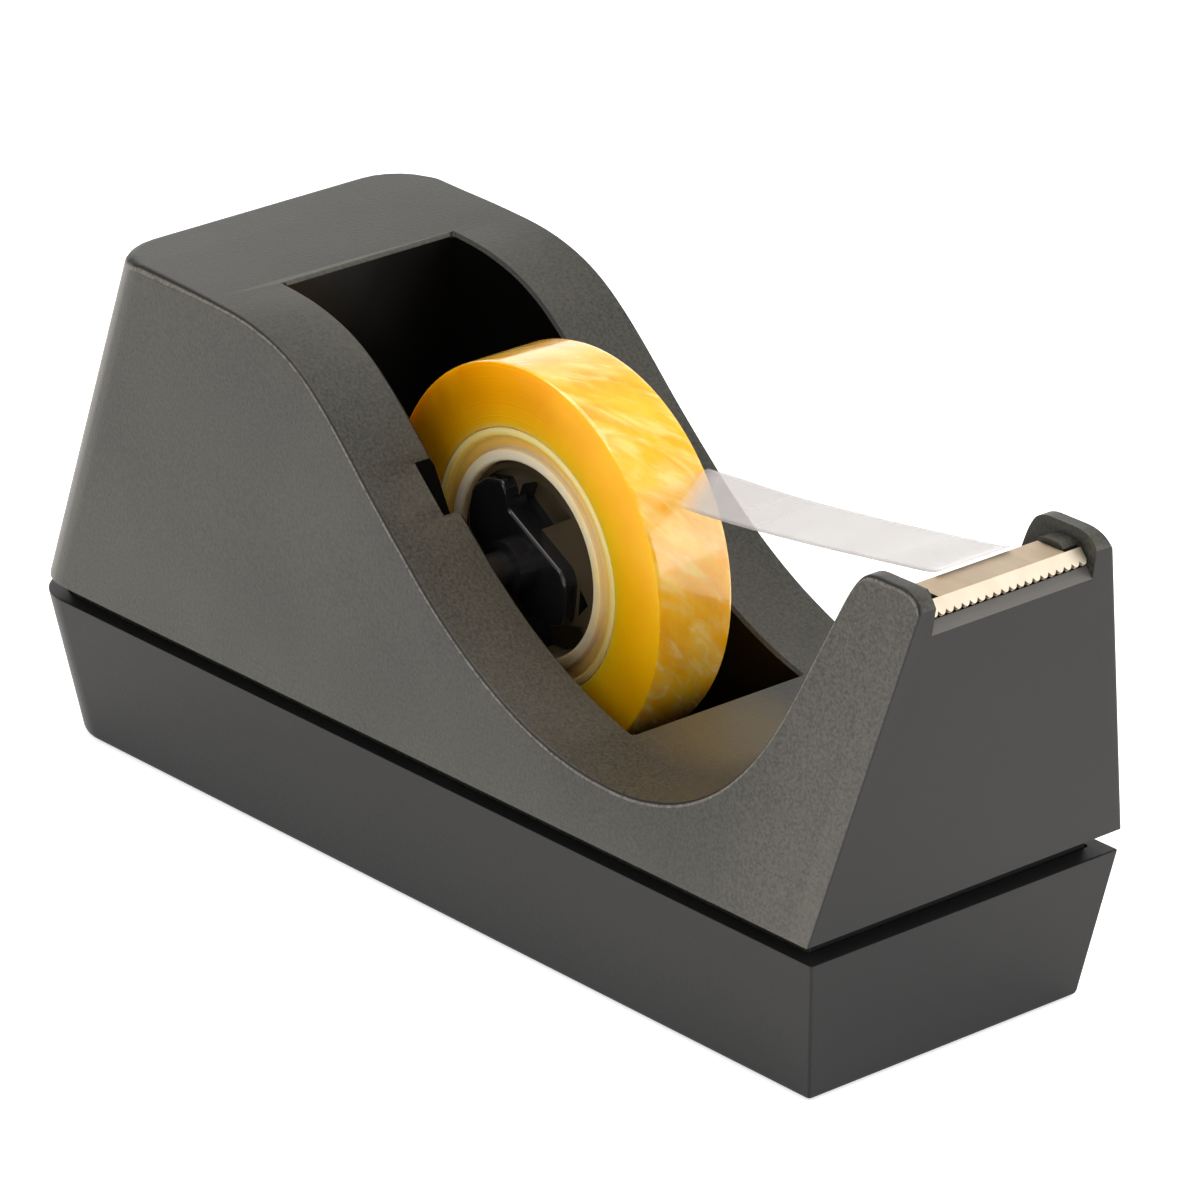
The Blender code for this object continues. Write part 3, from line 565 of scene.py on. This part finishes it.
def shell(top_pts, inset, z_bottom, rear, front, foot, n_arc=6):
    r = REAR_R - inset
    cols = []
    tx0 = top_pts[0][0]
    for i in range(n_arc + 1):
        a = math.radians(90.0 * i / n_arc)
        dx, dy = r * (1 - math.cos(a)), r * (1 - math.sin(a))
        half_t = HOUS_HALF - lean(tx0) * (top_pts[0][1] - HOUS_Z) - inset
        cols.append((rear + dx, HOUS_HALF - inset - dy, tx0 + dx, half_t - dy, top_pts[0][1]))
    start = cols[-1][2]
    for x, z in top_pts:
        if x <= start + 1.0:
            continue
        cols.append((foot(x), HOUS_HALF - inset, x, HOUS_HALF - lean(x) * (z - HOUS_Z) - inset, z))
    cols[-1] = (front, *cols[-1][1:])
    v, f = [], []
    for xb, yb, xt, yt, zt in cols:
        k = (z_bottom - HOUS_Z) / (zt - HOUS_Z)
        x0, y0 = xb + (xt - xb) * k, yb + (yt - yb) * k
        v += [(x0, -y0, z_bottom), (xt, -yt, zt), (xt, yt, zt), (x0, y0, z_bottom)]
    m = len(cols)
    for i in range(m - 1):
        a, b = 4 * i, 4 * (i + 1)
        f += [(a, b, b + 1, a + 1), (a + 2, b + 2, b + 3, a + 3)]
        if i >= n_arc:
            f += [(a + 1, b + 1, b + 2, a + 2), (a + 3, b + 3, b, a)]
    for lo_k, hi_k in ((1, 2), (0, 3)):
        f.append(tuple(4 * i + lo_k for i in range(n_arc + 1))
                 + tuple(4 * i + hi_k for i in range(n_arc, -1, -1)))
    f.append((0, 1, 2, 3))
    e = 4 * (m - 1)
    f.append((e, e + 3, e + 2, e + 1))
    me = bpy.data.meshes.new("shell")
    me.from_pydata(v, [], f)
    bm = bmesh.new()
    bm.from_mesh(me)
    bmesh.ops.recalc_face_normals(bm, faces=bm.faces)
    bm.to_mesh(me)
    bm.free()
    return me, m


def foot_x(x):
    xa, xb = -40.0, 56.0
    if x <= xa:
        return HOUS_REAR + (x - TOP[0][0]) / (xa - TOP[0][0]) * (xa - HOUS_REAR)
    if x >= xb:
        return xb + (x - xb) / (TOP[-1][0] - xb) * (HOUS_FRONT - xb)
    return x


def offset_down(pts, d):
    out = []
    for i, (x, z) in enumerate(pts):
        xa, za = pts[max(i - 1, 0)]
        xb, zb = pts[min(i + 1, len(pts) - 1)]
        tx, tz = xb - xa, zb - za
        ln = math.hypot(tx, tz)
        out.append((x + tz / ln * d, z - tx / ln * d))
    return out


# --------------------------------------------------------------------- housing
me_outer, ncol = shell(TOPF, 0.0, HOUS_Z, HOUS_REAR, HOUS_FRONT, foot_x)
wt = me_outer.attributes.new("bevel_weight_edge", "FLOAT", "EDGE")
for e in me_outer.edges:
    a, b = e.vertices
    ca, cb, ka, kb = a // 4, b // 4, a % 4, b % 4
    if ca != cb and ka == kb and ka in (1, 2):
        x = (me_outer.vertices[a].co.x + me_outer.vertices[b].co.x) / 2
        t = min(max((x + 50.0) / 14.0, 0.0), 1.0)
        wt.data[e.index].value = 1.0 + (0.42 - 1.0) * t
    elif ca == cb == 0 and {ka, kb} == {1, 2}:
        wt.data[e.index].value = 1.0
    elif ca == cb == ncol - 1 and {ka, kb} in ({0, 1}, {2, 3}):
        wt.data[e.index].value = 0.10
housing = to_obj("housing_body", me_outer, M_HOUSING, keep=True)
for extra in (M_WELL_SHADE, M_PANEL_SHADE, M_EDGE_SHEEN):
    housing.data.materials.append(extra)
bv = housing.modifiers.new("bevel", "BEVEL")
bv.width = 4.9 * S
bv.segments = 7
bv.limit_method = "WEIGHT"

inner_top = []
for x, z in offset_down(TOP, WALL):
    if z > 56.4 and x > 60.0:
        break
    inner_top.append((x, z))
inner_top = [(inner_top[0][0] + 2.4, inner_top[0][1])] + [q for q in inner_top if q[0] > inner_top[0][0] + 4.0]
xl, zl = inner_top[-1]
inner_top += [(xl + 2.0, zl + 0.6), (79.2, zl + 0.6)]


def foot_in(x):
    xa, xb = -40.0, 56.0
    if x <= xa:
        return HOUS_REAR + 2.3 + (x - inner_top[0][0]) / (xa - inner_top[0][0]) * (xa - HOUS_REAR - 2.3)
    if x >= xb:
        return xb + (x - xb) / (79.2 - xb) * (HOUS_FRONT - 2.3 - xb)
    return x


me_in, _ = shell(inner_top, WALL, HOUS_Z + 2.0, HOUS_REAR + 2.3, HOUS_FRONT - 2.3, foot_in)
sk0, sk1, skh, skr = SKIRT
plan = rounded_rect(sk0, sk1, skh, skr, 0.6)
boolean(housing, to_obj("t", loft([(plan, LEDGE_Z + 0.3), (plan, HOUS_Z + 0.8)])), "UNION")
plan = rounded_rect(sk0 + SKIRT_T, sk1 - SKIRT_T, skh - SKIRT_T, skr - SKIRT_T, 0.6)
boolean(housing, to_obj("t", loft([(plan, 10.0), (plan, HOUS_Z + 2.5)])))
boolean(housing, to_obj("t", me_in))


def under_roof(x0, x1, z_low, drop):
    xs = [x0] + [x for x, _ in TOP if x0 + 0.8 < x < x1 - 0.8] + [x1]
    return [(x0, z_low), (x1, z_low)] + [(x, top_z(x) - drop) for x in reversed(xs)]


w0, w1, wh, wz = WELL
boolean(housing, to_obj("t", prism(under_roof(w0 - 2, w1 + 2, wz - 2, 1.1), -wh - 2, wh + 2)), "UNION")
boolean(housing, to_obj("t", prism(under_roof(-12.0, 9.0, 34.5, 1.3), -GROOVE_Y - 2.0, GROOVE_Y + 2.0)), "UNION")
gx, gz = GROOVE_DIR
gp = []
for i in range(25):
    a = math.atan2(gz, gx) + math.pi / 2 + math.pi * i / 24
    gp.append((AX + GROOVE_R * math.cos(a), AZ + GROOVE_R * math.sin(a)))
gp.append((gp[-1][0] + gx * 30.0, gp[-1][1] + gz * 30.0))
gp.append((gp[0][0] + gx * 30.0, gp[0][1] + gz * 30.0))
for sx, top, rib in ((-SCREW_X, 36.0, 23.6), (SCREW_X, 33.6, 21.4)):
    for sy in (-1, 1):
        boolean(housing, to_obj("t", cyl(sx, sy * SCREW_Y, (LEDGE_Z - 1.7 + top) / 2, 3.6, top - LEDGE_Z + 1.7)), "UNION")
boolean(housing, to_obj("t", block(w0, w1, -wh, wh, wz, 90.0)))
boolean(housing, to_obj("t", prism(gp, -GROOVE_Y, GROOVE_Y)))


def rim_cut(side):
    """Small chamfer on the upper edge of a long well wall."""
    xs = [w0 - 0.4] + [x for x, _ in TOPF if w0 + 0.3 < x < w1 - 0.3] + [w1 + 0.2]
    bm = bmesh.new()
    rows = []
    for x in xs:
        z = top_z(x)
        rows.append([bm.verts.new((x, side * (wh + RIM + 0.1), z + 0.1)), bm.verts.new((x, side * (wh - 0.3), z + 0.1)),
                     bm.verts.new((x, side * (wh - 0.3), z - RIM - 0.3))])
    for a, b in zip(rows, rows[1:]):
        for k in range(3):
            bm.faces.new((a[k], a[(k + 1) % 3], b[(k + 1) % 3], b[k]))
    bm.faces.new(rows[0])
    bm.faces.new(rows[-1][::-1])
    bmesh.ops.recalc_face_normals(bm, faces=bm.faces)
    me = bpy.data.meshes.new("rim")
    bm.to_mesh(me)
    bm.free()
    return me


RIM = 0.40
for s in (-1, 1):
    boolean(housing, to_obj("t", rim_cut(s)))
zr = top_z(w0)
boolean(housing, to_obj("t", prism([(w0 - RIM - 0.1, zr + 0.1), (w0 + 0.3, zr + 0.1), (w0 + 0.3, zr - RIM - 0.3)], -wh - 0.3, wh + 0.3)))
zr = top_z(w1)
boolean(housing, to_obj("t", prism([(w1 - 0.3, zr + 0.14), (w1 + RIM + 0.1, zr + 0.05), (w1 - 0.3, zr - RIM - 0.3)], -wh, wh)))
seat = [(60.0, 54.4), (75.0, PED_Z), (79.7, PED_Z), (79.9, 60.8), (80.7, 60.7), (82.1, 59.1),
        (95.0, 59.1), (95.0, 80.0), (60.0, 80.0)]
boolean(housing, to_obj("t", prism(seat, -EAR_IN, EAR_IN)))
for s in (-1, 1):
    lug = [(74.6, 61.6), (79.3, 61.6), (79.3, 62.9), (78.6, 63.5), (76.0, 63.5), (75.2, 63.1)]
    y0, y1 = sorted((s * 10.2, s * (EAR_IN + 0.6)))
    boolean(housing, to_obj("t", prism(lug, y0, y1)), "UNION")
settle(housing, 30.0)

# finish by area, with painted light: near-black gloss with painted shade inside the well and in the recess under the
# cutter lip, near-black matt with painted shade in the axle grooves, darker smooth front panel with painted shade,
# lighter chamfer band with painted reflection
housing.data.materials.append(M_GROOVE_SHADE)
wx0, wx1 = (w0 - 0.05 + SHIFT[0]) * S, (w1 + 0.05 + SHIFT[0]) * S
for p in housing.data.polygons:
    c, n = p.center, p.normal
    inside = wx0 <= c.x <= wx1 and abs(c.y) <= (GROOVE_Y + 0.02) * S and c.z > (wz - 0.1 + SHIFT[2]) * S
    rel = Vector((c.x / S - SHIFT[0] - AX, 0.0, c.z / S - SHIFT[2] - AZ))
    across = abs(rel.x * gz - rel.z * gx)
    groove = across < GROOVE_R + 0.05 and rel.x * gx + rel.z * gz > -2.0 and wh < abs(c.y) / S < GROOVE_Y + 0.05
    # painted shade: axle groove faces get the near-black matt material
    if groove:
        p.material_index = len(housing.data.materials) - 1
    # painted shade: well walls and well floor get the near-black gloss
    elif inside and abs(n.z) < 0.3 and (abs(c.y) < (wh + 0.02) * S or abs(c.x - (AX - 4 + SHIFT[0]) * S) < 0.008):
        p.material_index = 1
    elif inside and c.z < (wz + 0.1 + SHIFT[2]) * S:
        p.material_index = 1
    # painted shadow: recess faces under the cutter lip get the near-black well material
    elif abs(c.y) < (EAR_IN + 0.01) * S and 0.0740 < c.x < 0.0775 and 0.0605 < c.z < 0.0612:
        p.material_index = 1
    # painted reflection: the chamfer band at the top of the front panel gets the lighter edge material
    elif abs(c.y) < (EAR_IN + 0.01) * S and c.x > 0.0765 and 0.0590 < c.z < 0.0612 and n.x > 0.5 and n.z > 0.4:
        p.material_index = 3
    # painted shade: forward-facing front panel faces get the darker smooth panel material
    elif n.x > 0.93 and c.x > 0.068:
        p.material_index = 2
    else:
        p.material_index = 0
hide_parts("housing")
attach(housing, "stand")

# ------------------------------------------------------------------- base tray
n = 12
lo = rounded_rect(-72.2, 71.5, 21.47, REAR_R, 0.35, n)
hi = rounded_rect(-75.0, 75.0, 24.34, REAR_R, 0.35, n)


def between(a, b, t):
    return [(x0 + (x1 - x0) * t, y0 + (y1 - y0) * t) for (x0, y0), (x1, y1) in zip(a, b)]


def shrink(a, d, k=0.0):
    return [(x - math.copysign(d, x), y - math.copysign(d, y)) for x, y in a]


tray = to_obj("base_tray_body", loft([(shrink(lo, 0.5), 0.0), (shrink(lo, 0.16), 0.12), (lo, 0.5),
                                      (between(lo, hi, 0.985), 19.06), (shrink(hi, 0.05), 19.24),
                                      (shrink(hi, 0.28), 19.35)]), M_BASE, keep=True)
clo = rounded_rect(-69.4, 68.9, 19.2, 5.4, 0.8, n)
chi = rounded_rect(-70.2, 69.8, 20.0, 5.4, 0.8, n)
boolean(tray, to_obj("t", loft([(clo, 2.2), (chi, LEDGE_Z + 0.01)])))
chi = rounded_rect(sk0 - 0.3, sk1 + 0.3, skh + 0.3, skr + 0.3, 0.6, n)
boolean(tray, to_obj("t", loft([(chi, LEDGE_Z), (chi, 23.0)])))
for sx in (-SCREW_X, SCREW_X):
    for sy in (-1, 1):
        boolean(tray, to_obj("t", cyl(sx, sy * SCREW_Y, 7.0, 4.7, 12.0)), "UNION")
for sx in (-SCREW_X, SCREW_X):
    for sy in (-1, 1):
        boolean(tray, to_obj("t", cyl(sx, sy * SCREW_Y, 8.0, 1.9, 20.0)))
        boolean(tray, to_obj("t", cyl(sx, sy * SCREW_Y, 0.6, 3.4, 5.2)))
pp = rounded_rect(-54.3, 54.3, 17.3, 3.3, 3.3, n)
boolean(tray, to_obj("t", loft([(pp, -2.0), (pp, 0.9)])))
settle(tray, 30.0)
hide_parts("base_tray")
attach(tray, "stand")

# ---------------------------------------------------------------------- cutter
z_top = PED_Z + 0.3 + 0.5
arc = [(75.4, z_top - 0.5), (79.75, z_top - 0.5), (79.98, z_top - 0.56), (80.2, z_top - 0.7)]
top_arc = [(75.45, z_top), (79.7, z_top), (80.0, z_top - 0.03), (80.25, z_top - 0.14), (80.42, z_top - 0.32)]
plate = [(75.4, z_top - 0.05)] + [(75.4, z_top - 0.5)] + arc[1:] + top_arc[::-1][:-1] + [(75.45, z_top)]
blade = to_obj("cutter_blade_plate", prism(plate, -9.8, 9.8), M_BLADE, keep=True)
pitch, n_teeth = 1.22, 20
hw = pitch * n_teeth / 2
flat = [(-hw, -0.2)]
for i in range(n_teeth):
    flat += [(-hw + pitch * i + 0.06, 1.36), (-hw + pitch * (i + 0.26), 1.80), (-hw + pitch * (i + 0.5), 1.92),
             (-hw + pitch * (i + 0.74), 1.80)]
flat += [(hw - 0.06, 1.36), (hw, -0.2)]
lip_me = prism(flat, -0.25, 0.25, "z")
dirn = Vector((0.66, 0.0, -0.751)).normalized()
nrm = Vector((0.751, 0.0, 0.66)).normalized()
M = Matrix((Vector((0, 1, 0)), dirn, nrm)).transposed().to_4x4()
M.translation = Vector((80.05, 0.0, z_top - 0.27))
lip_me.transform(M)
boolean(blade, to_obj("t", lip_me), "UNION")
for s in (-1, 1):
    y0, y1 = sorted((s * 4.0, s * 7.0))
    boolean(blade, to_obj("t", block(77.2, 77.7, y0, y1, 58.8, z_top - 0.2)), "UNION")
settle(blade, 30.0)
blade.data.materials.append(M_LIP_HIGHLIGHT)
# painted highlight: forward-facing lip faces get the lighter metal
for p in blade.data.polygons:
    if p.normal.x > 0.5:
        p.material_index = len(blade.data.materials) - 1
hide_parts("cutter_blade")
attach(blade, "stand")

# ------------------------------------------------------------------------ reel
ORG = (AX, 0.0, AZ)


def turned(name, profile, mats, seg=160, pick=None):
    """Closed (radius, y) profile turned about the reel axis."""
    bm = bmesh.new()
    rows = []
    for k in range(seg):
        a = 2 * math.pi * k / seg
        rows.append([bm.verts.new((r * math.cos(a), y, r * math.sin(a))) for r, y in profile])
    m = len(profile)
    for k in range(seg):
        p, q = rows[k], rows[(k + 1) % seg]
        for i in range(m):
            j = (i + 1) % m
            f = bm.faces.new((p[i], p[j], q[j], q[i]))
            f.material_index = pick(profile[i], profile[j]) if pick else 0
            f.smooth = True
    bmesh.ops.recalc_face_normals(bm, faces=bm.faces)
    bmesh.ops.scale(bm, vec=(S, S, S), verts=bm.verts)
    me = bpy.data.meshes.new(name)
    bm.to_mesh(me)
    bm.free()
    for x in mats:
        me.materials.append(x)
    me.set_sharp_from_angle(angle=math.radians(35))
    ob = bpy.data.objects.new(name, me)
    ob.location = (Vector(ORG) + SHIFT) * S
    scene.collection.objects.link(ob)
    return ob


H = 5.75
prof = [(16.65, H - 0.2), (16.8, H), (24.55, H), (24.78, H - 0.08), (24.88, H - 0.3), (24.9, H - 0.6),
        (24.9, -H + 0.6), (24.88, -H + 0.3), (24.78, -H + 0.08), (24.55, -H), (16.8, -H), (16.65, -H + 0.2)]
roll = turned("tape_roll_wound", prof, [M_TAPE_SIDE, M_TREAD], 192,
              lambda a, b: 1 if a[0] > 24.7 and b[0] > 24.7 else 0)
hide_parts("tape_roll")
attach(roll, "reel")

prof = [(16.6, H - 0.1), (16.45, H), (15.75, H), (15.6, H - 0.12), (15.4, H - 0.85), (15.25, H - 0.95),
        (14.1, H - 0.95), (13.95, H - 0.85), (13.8, H - 0.2), (13.65, H - 0.12), (12.65, H - 0.12),
        (12.45, H - 0.3), (12.4, H - 0.6)]
prof = prof + [(r, -y) for r, y in prof[::-1]]
core = turned("tape_core_ring", prof, [M_CORE], 160)
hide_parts("tape_core")
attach(core, "reel")

ux, uz = 0.776, -0.631
vx, vz = -uz, ux


def uv(u, v):
    return (AX + ux * u + vx * v, AZ + uz * u + vz * v)


def round_poly(pts, r, n=4):
    """Corners of a closed outline rounded by about r."""
    out = []
    m = len(pts)
    for i in range(m):
        p = Vector(pts[i])
        a = Vector(pts[i - 1]) - p
        b = Vector(pts[(i + 1) % m]) - p
        d = min(r, a.length * 0.4, b.length * 0.4)
        a0, b0 = p + a.normalized() * d, p + b.normalized() * d
        for k in range(n + 1):
            t = k / n
            q = a0 * (1 - t) ** 2 + p * 2 * t * (1 - t) + b0 * t * t
            out.append((q[0], q[1]))
    return out


bar_uv = [(-11.7, -0.5), (-10.9, 2.6), (-8.8, 5.1), (-7.4, 4.7), (-6.0, 3.3), (5.2, 5.4), (6.6, 4.8), (8.2, 2.4),
          (9.6, -0.2), (8.1, -2.8), (5.2, -4.6), (-5.2, -5.0), (-8.6, -5.4), (-10.3, -3.7)]
bar = round_poly([uv(u, v) for u, v in bar_uv], 0.8)


def bar_plate(outer, inner):
    sgn = 1 if outer > inner else -1
    loops = [(1.0, inner), (1.0, outer - 0.55 * sgn), (0.985, outer - 0.28 * sgn), (0.955, outer - 0.08 * sgn), (0.925, outer)]
    bm = bmesh.new()
    rows = [[bm.verts.new((AX + (x - AX) * k, y, AZ + (z - AZ) * k)) for x, z in bar] for k, y in loops]
    m = len(bar)
    for a, b in zip(rows, rows[1:]):
        for i in range(m):
            bm.faces.new((a[i], a[(i + 1) % m], b[(i + 1) % m], b[i]))
    bm.faces.new(rows[0])
    bm.faces.new(rows[-1][::-1])
    bmesh.ops.recalc_face_normals(bm, faces=bm.faces)
    me = bpy.data.meshes.new("bar")
    bm.to_mesh(me)
    bm.free()
    return me


hub = to_obj("reel_hub_body", cyl(AX, 0, AZ, 12.1, 9.6, "y", 128), M_HUB, keep=True, origin=ORG)
boolean(hub, to_obj("t", cyl(AX, -5.8, AZ, 11.4, 3.0, "y", 128)))
boolean(hub, to_obj("t", cyl(AX, 4.6, AZ, 10.8, 10.4, "y", 128)))
openings = (((-6.4, 3.0), (-7.2, 5.8), (-6.0, 8.1), (-3.5, 9.6), (0.9, 10.2), (-1.8, 3.3)),
            ((7.6, 4.4), (9.8, 3.9), (9.6, 1.2)),
            ((8.3, -3.0), (10.0, -0.4), (11.3, 1.3), (13.0, 0.5), (12.0, -5.5), (8.5, -9.5), (5.0, -7.0)))
for outline in openings:
    boolean(hub, to_obj("t", prism([uv(u, v) for u, v in outline], -7.0, -1.6)))
web = [uv(-11.0, -1.0), uv(11.0, -1.0), uv(11.0, 1.0), uv(-11.0, 1.0)]
boolean(hub, to_obj("t", prism(web, -3.4, 6.0)), "UNION")
boolean(hub, to_obj("t", bar_plate(-6.4, -3.2)), "UNION")
boolean(hub, to_obj("t", bar_plate(6.4, 4.2)), "UNION")
ex, ez = uv(-5.6, 6.6)
boolean(hub, to_obj("t", cyl(ex, -1.4, ez, 1.4, 0.9, "y")), "UNION")
boolean(hub, to_obj("t", cyl(AX, 0, AZ, 3.4, 18.6, "y")), "UNION")
boolean(hub, to_obj("t", cyl(AX, 0, AZ, 2.2, 25.8, "y")), "UNION")
boolean(hub, to_obj("t", cyl(AX, 0, AZ, 0.9, 31.2, "y")), "UNION")
settle(hub, 30.0)
bv = hub.modifiers.new("soft", "BEVEL")
bv.width = 0.14 * S
bv.segments = 2
bv.limit_method = "ANGLE"
bv.angle_limit = math.radians(50)
settle(hub, 30.0)
hub.data.materials.append(M_DISC_AMBER_LIGHT)
# painted amber light: the black hub's disc faces get the tan copy
for p in hub.data.polygons:
    if abs(p.normal.y) > 0.9 and abs(p.center.y) < 6.0 * S:
        p.material_index = 1
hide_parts("reel_hub")
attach(hub, "reel")

# ----------------------------------------------------------------- free tape end
LINE = [(22.85, 56.75), (28.0, 57.25), (34.5, 57.7), (41.0, 58.3), (48.5, 59.2), (55.0, 60.05),
        (61.5, 61.0), (68.0, 61.95), (73.5, 62.8), (75.8, 63.36), (80.6, 63.4)]
lf = fine(LINE, 5, 0, len(LINE) - 1)
bm = bmesh.new()
NY = 16
rows = [[bm.verts.new(((x + SHIFT[0]) * S, (-5.7 + 11.4 * j / NY) * S, (z + SHIFT[2]) * S)) for j in range(NY + 1)]
        for x, z in lf]
for a, b in zip(rows, rows[1:]):
    for j in range(NY):
        f = bm.faces.new((a[j], b[j], b[j + 1], a[j + 1]))
        f.smooth = True
bmesh.ops.recalc_face_normals(bm, faces=bm.faces)
me = bpy.data.meshes.new("tape_strip_film")
bm.to_mesh(me)
bm.free()
me.materials.append(M_FILM)
strip = bpy.data.objects.new("tape_strip_film", me)
scene.collection.objects.link(strip)
sd = strip.modifiers.new("thick", "SOLIDIFY")
sd.thickness = 0.00012
sd.offset = 0.0
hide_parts("tape_strip")
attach(strip, "leader")

# ------------------------------------------------------------- kept CAD pieces
for nm, mt in (("ballast_plate", M_STEEL), ("base_pad", M_PAD), ("screw_rear_near", M_SCREW),
               ("screw_rear_far", M_SCREW), ("screw_front_near", M_SCREW), ("screw_front_far", M_SCREW)):
    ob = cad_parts[nm]
    for sl in ob.material_slots:
        sl.material = mt

for ob in temp:
    bpy.data.objects.remove(ob, do_unlink=True)

# ----------------------------------------------------------------------- stage
bm = bmesh.new()
bmesh.ops.create_grid(bm, x_segments=4, y_segments=4, size=3.0)
me = bpy.data.meshes.new("floor")
bm.to_mesh(me)
bm.free()
floor = bpy.data.objects.new("floor", me)
scene.collection.objects.link(floor)
fm, nt, b = new_mat("floor_white")
b.inputs["Base Color"].default_value = (0.93, 0.93, 0.93, 1)
b.inputs["Roughness"].default_value = 0.7
b.inputs["Specular IOR Level"].default_value = 0.1
b.inputs["Emission Color"].default_value = (1.0, 1.0, 1.0, 1)
b.inputs["Emission Strength"].default_value = 0.60
me.materials.append(fm)

world = bpy.data.worlds.new("studio")
scene.world = world
world.use_nodes = True
bg = world.node_tree.nodes["Background"]
bg.inputs["Color"].default_value = (1.0, 1.0, 1.0, 1)
bg.inputs["Strength"].default_value = 0.50


def area(name, loc, target, size, power, size_y=None, color=(1, 1, 1)):
    ld = bpy.data.lights.new(name, "AREA")
    ld.shape = "RECTANGLE"
    ld.size = size
    ld.size_y = size_y or size
    ld.energy = power
    ld.color = color
    ob = bpy.data.objects.new(name, ld)
    ob.location = loc
    d = Vector(target) - Vector(loc)
    ob.rotation_euler = d.to_track_quat("-Z", "Y").to_euler()
    scene.collection.objects.link(ob)
    return ob


area("key_top", (-0.05, 0.10, 1.1), (0, 0, 0.03), 0.9, 9.4, color=(1.0, 0.905, 0.835))
area("near_top_strip", (0.18, -0.85, 0.78), (0, 0, 0.05), 0.35, 2.0)
area("near_right_soft", (0.75, -0.62, 0.30), (0.03, 0, 0.03), 0.4, 1.0, color=(1.0, 0.96, 0.93))


def panel(name, centre, look, width, height, low, high):
    """Upright light panel whose brightness falls from its foot to its top."""
    bm = bmesh.new()
    vs = [bm.verts.new((x, y, 0)) for x, y in ((-width / 2, -height / 2), (width / 2, -height / 2),
                                              (width / 2, height / 2), (-width / 2, height / 2))]
    bm.faces.new(vs)
    me = bpy.data.meshes.new(name)
    bm.to_mesh(me)
    bm.free()
    m = bpy.data.materials.new(name)
    m.use_nodes = True
    nt = m.node_tree
    nt.nodes.clear()
    out = nt.nodes.new("ShaderNodeOutputMaterial")
    em = nt.nodes.new("ShaderNodeEmission")
    tc = nt.nodes.new("ShaderNodeTexCoord")
    sp = nt.nodes.new("ShaderNodeSeparateXYZ")
    nt.links.new(tc.outputs["Object"], sp.inputs[0])
    nt.links.new(maprange(nt, sp.outputs[1], -height / 2, height / 2, low, high), em.inputs["Strength"])
    nt.links.new(em.outputs[0], out.inputs[0])
    me.materials.append(m)
    ob = bpy.data.objects.new(name, me)
    ob.location = centre
    z = (Vector(look) - Vector(centre)).normalized()
    x = Vector((0, 0, 1)).cross(z).normalized()
    y = z.cross(x)
    ob.rotation_euler = Matrix((x, y, z)).transposed().to_euler()
    ob.visible_camera = False
    scene.collection.objects.link(ob)
    return ob


panel("panel_right", (0.95, 0.85, 0.56), (0, 0, 0.10), 1.5, 1.15, 4.4, 0.5)
panel("panel_far_left", (-1.0, 0.85, 0.60), (0, 0, 0.10), 1.3, 1.2, 1.7, 0.8)

scene.view_settings.view_transform = "Standard"
scene.view_settings.look = "None"

# ---------------------------------------------------------------------- camera
az, el, roll_a = math.radians(49.6), math.radians(23.13), math.radians(-0.37)
back = Vector((math.sin(az) * math.cos(el), -math.cos(az) * math.cos(el), math.sin(el)))
target = (Vector((-20.66, 25.7, 20.17)) + SHIFT) * S
pos = target + back * 1.0134
fwd = -back
right = fwd.cross(Vector((0, 0, 1))).normalized()
up = right.cross(fwd)
r2 = right * math.cos(roll_a) + up * math.sin(roll_a)
u2 = -right * math.sin(roll_a) + up * math.cos(roll_a)
cam = bpy.data.cameras.new("camera")
cam.sensor_width = 36.0
cam.lens = 8024.0 / 1200.0 * 36.0
cam.clip_start = 0.05
cam.clip_end = 20.0
co = bpy.data.objects.new("camera", cam)
co.matrix_world = Matrix((
    (r2.x, u2.x, back.x, pos.x),
    (r2.y, u2.y, back.y, pos.y),
    (r2.z, u2.z, back.z, pos.z),
    (0, 0, 0, 1)))
scene.collection.objects.link(co)
scene.camera = co
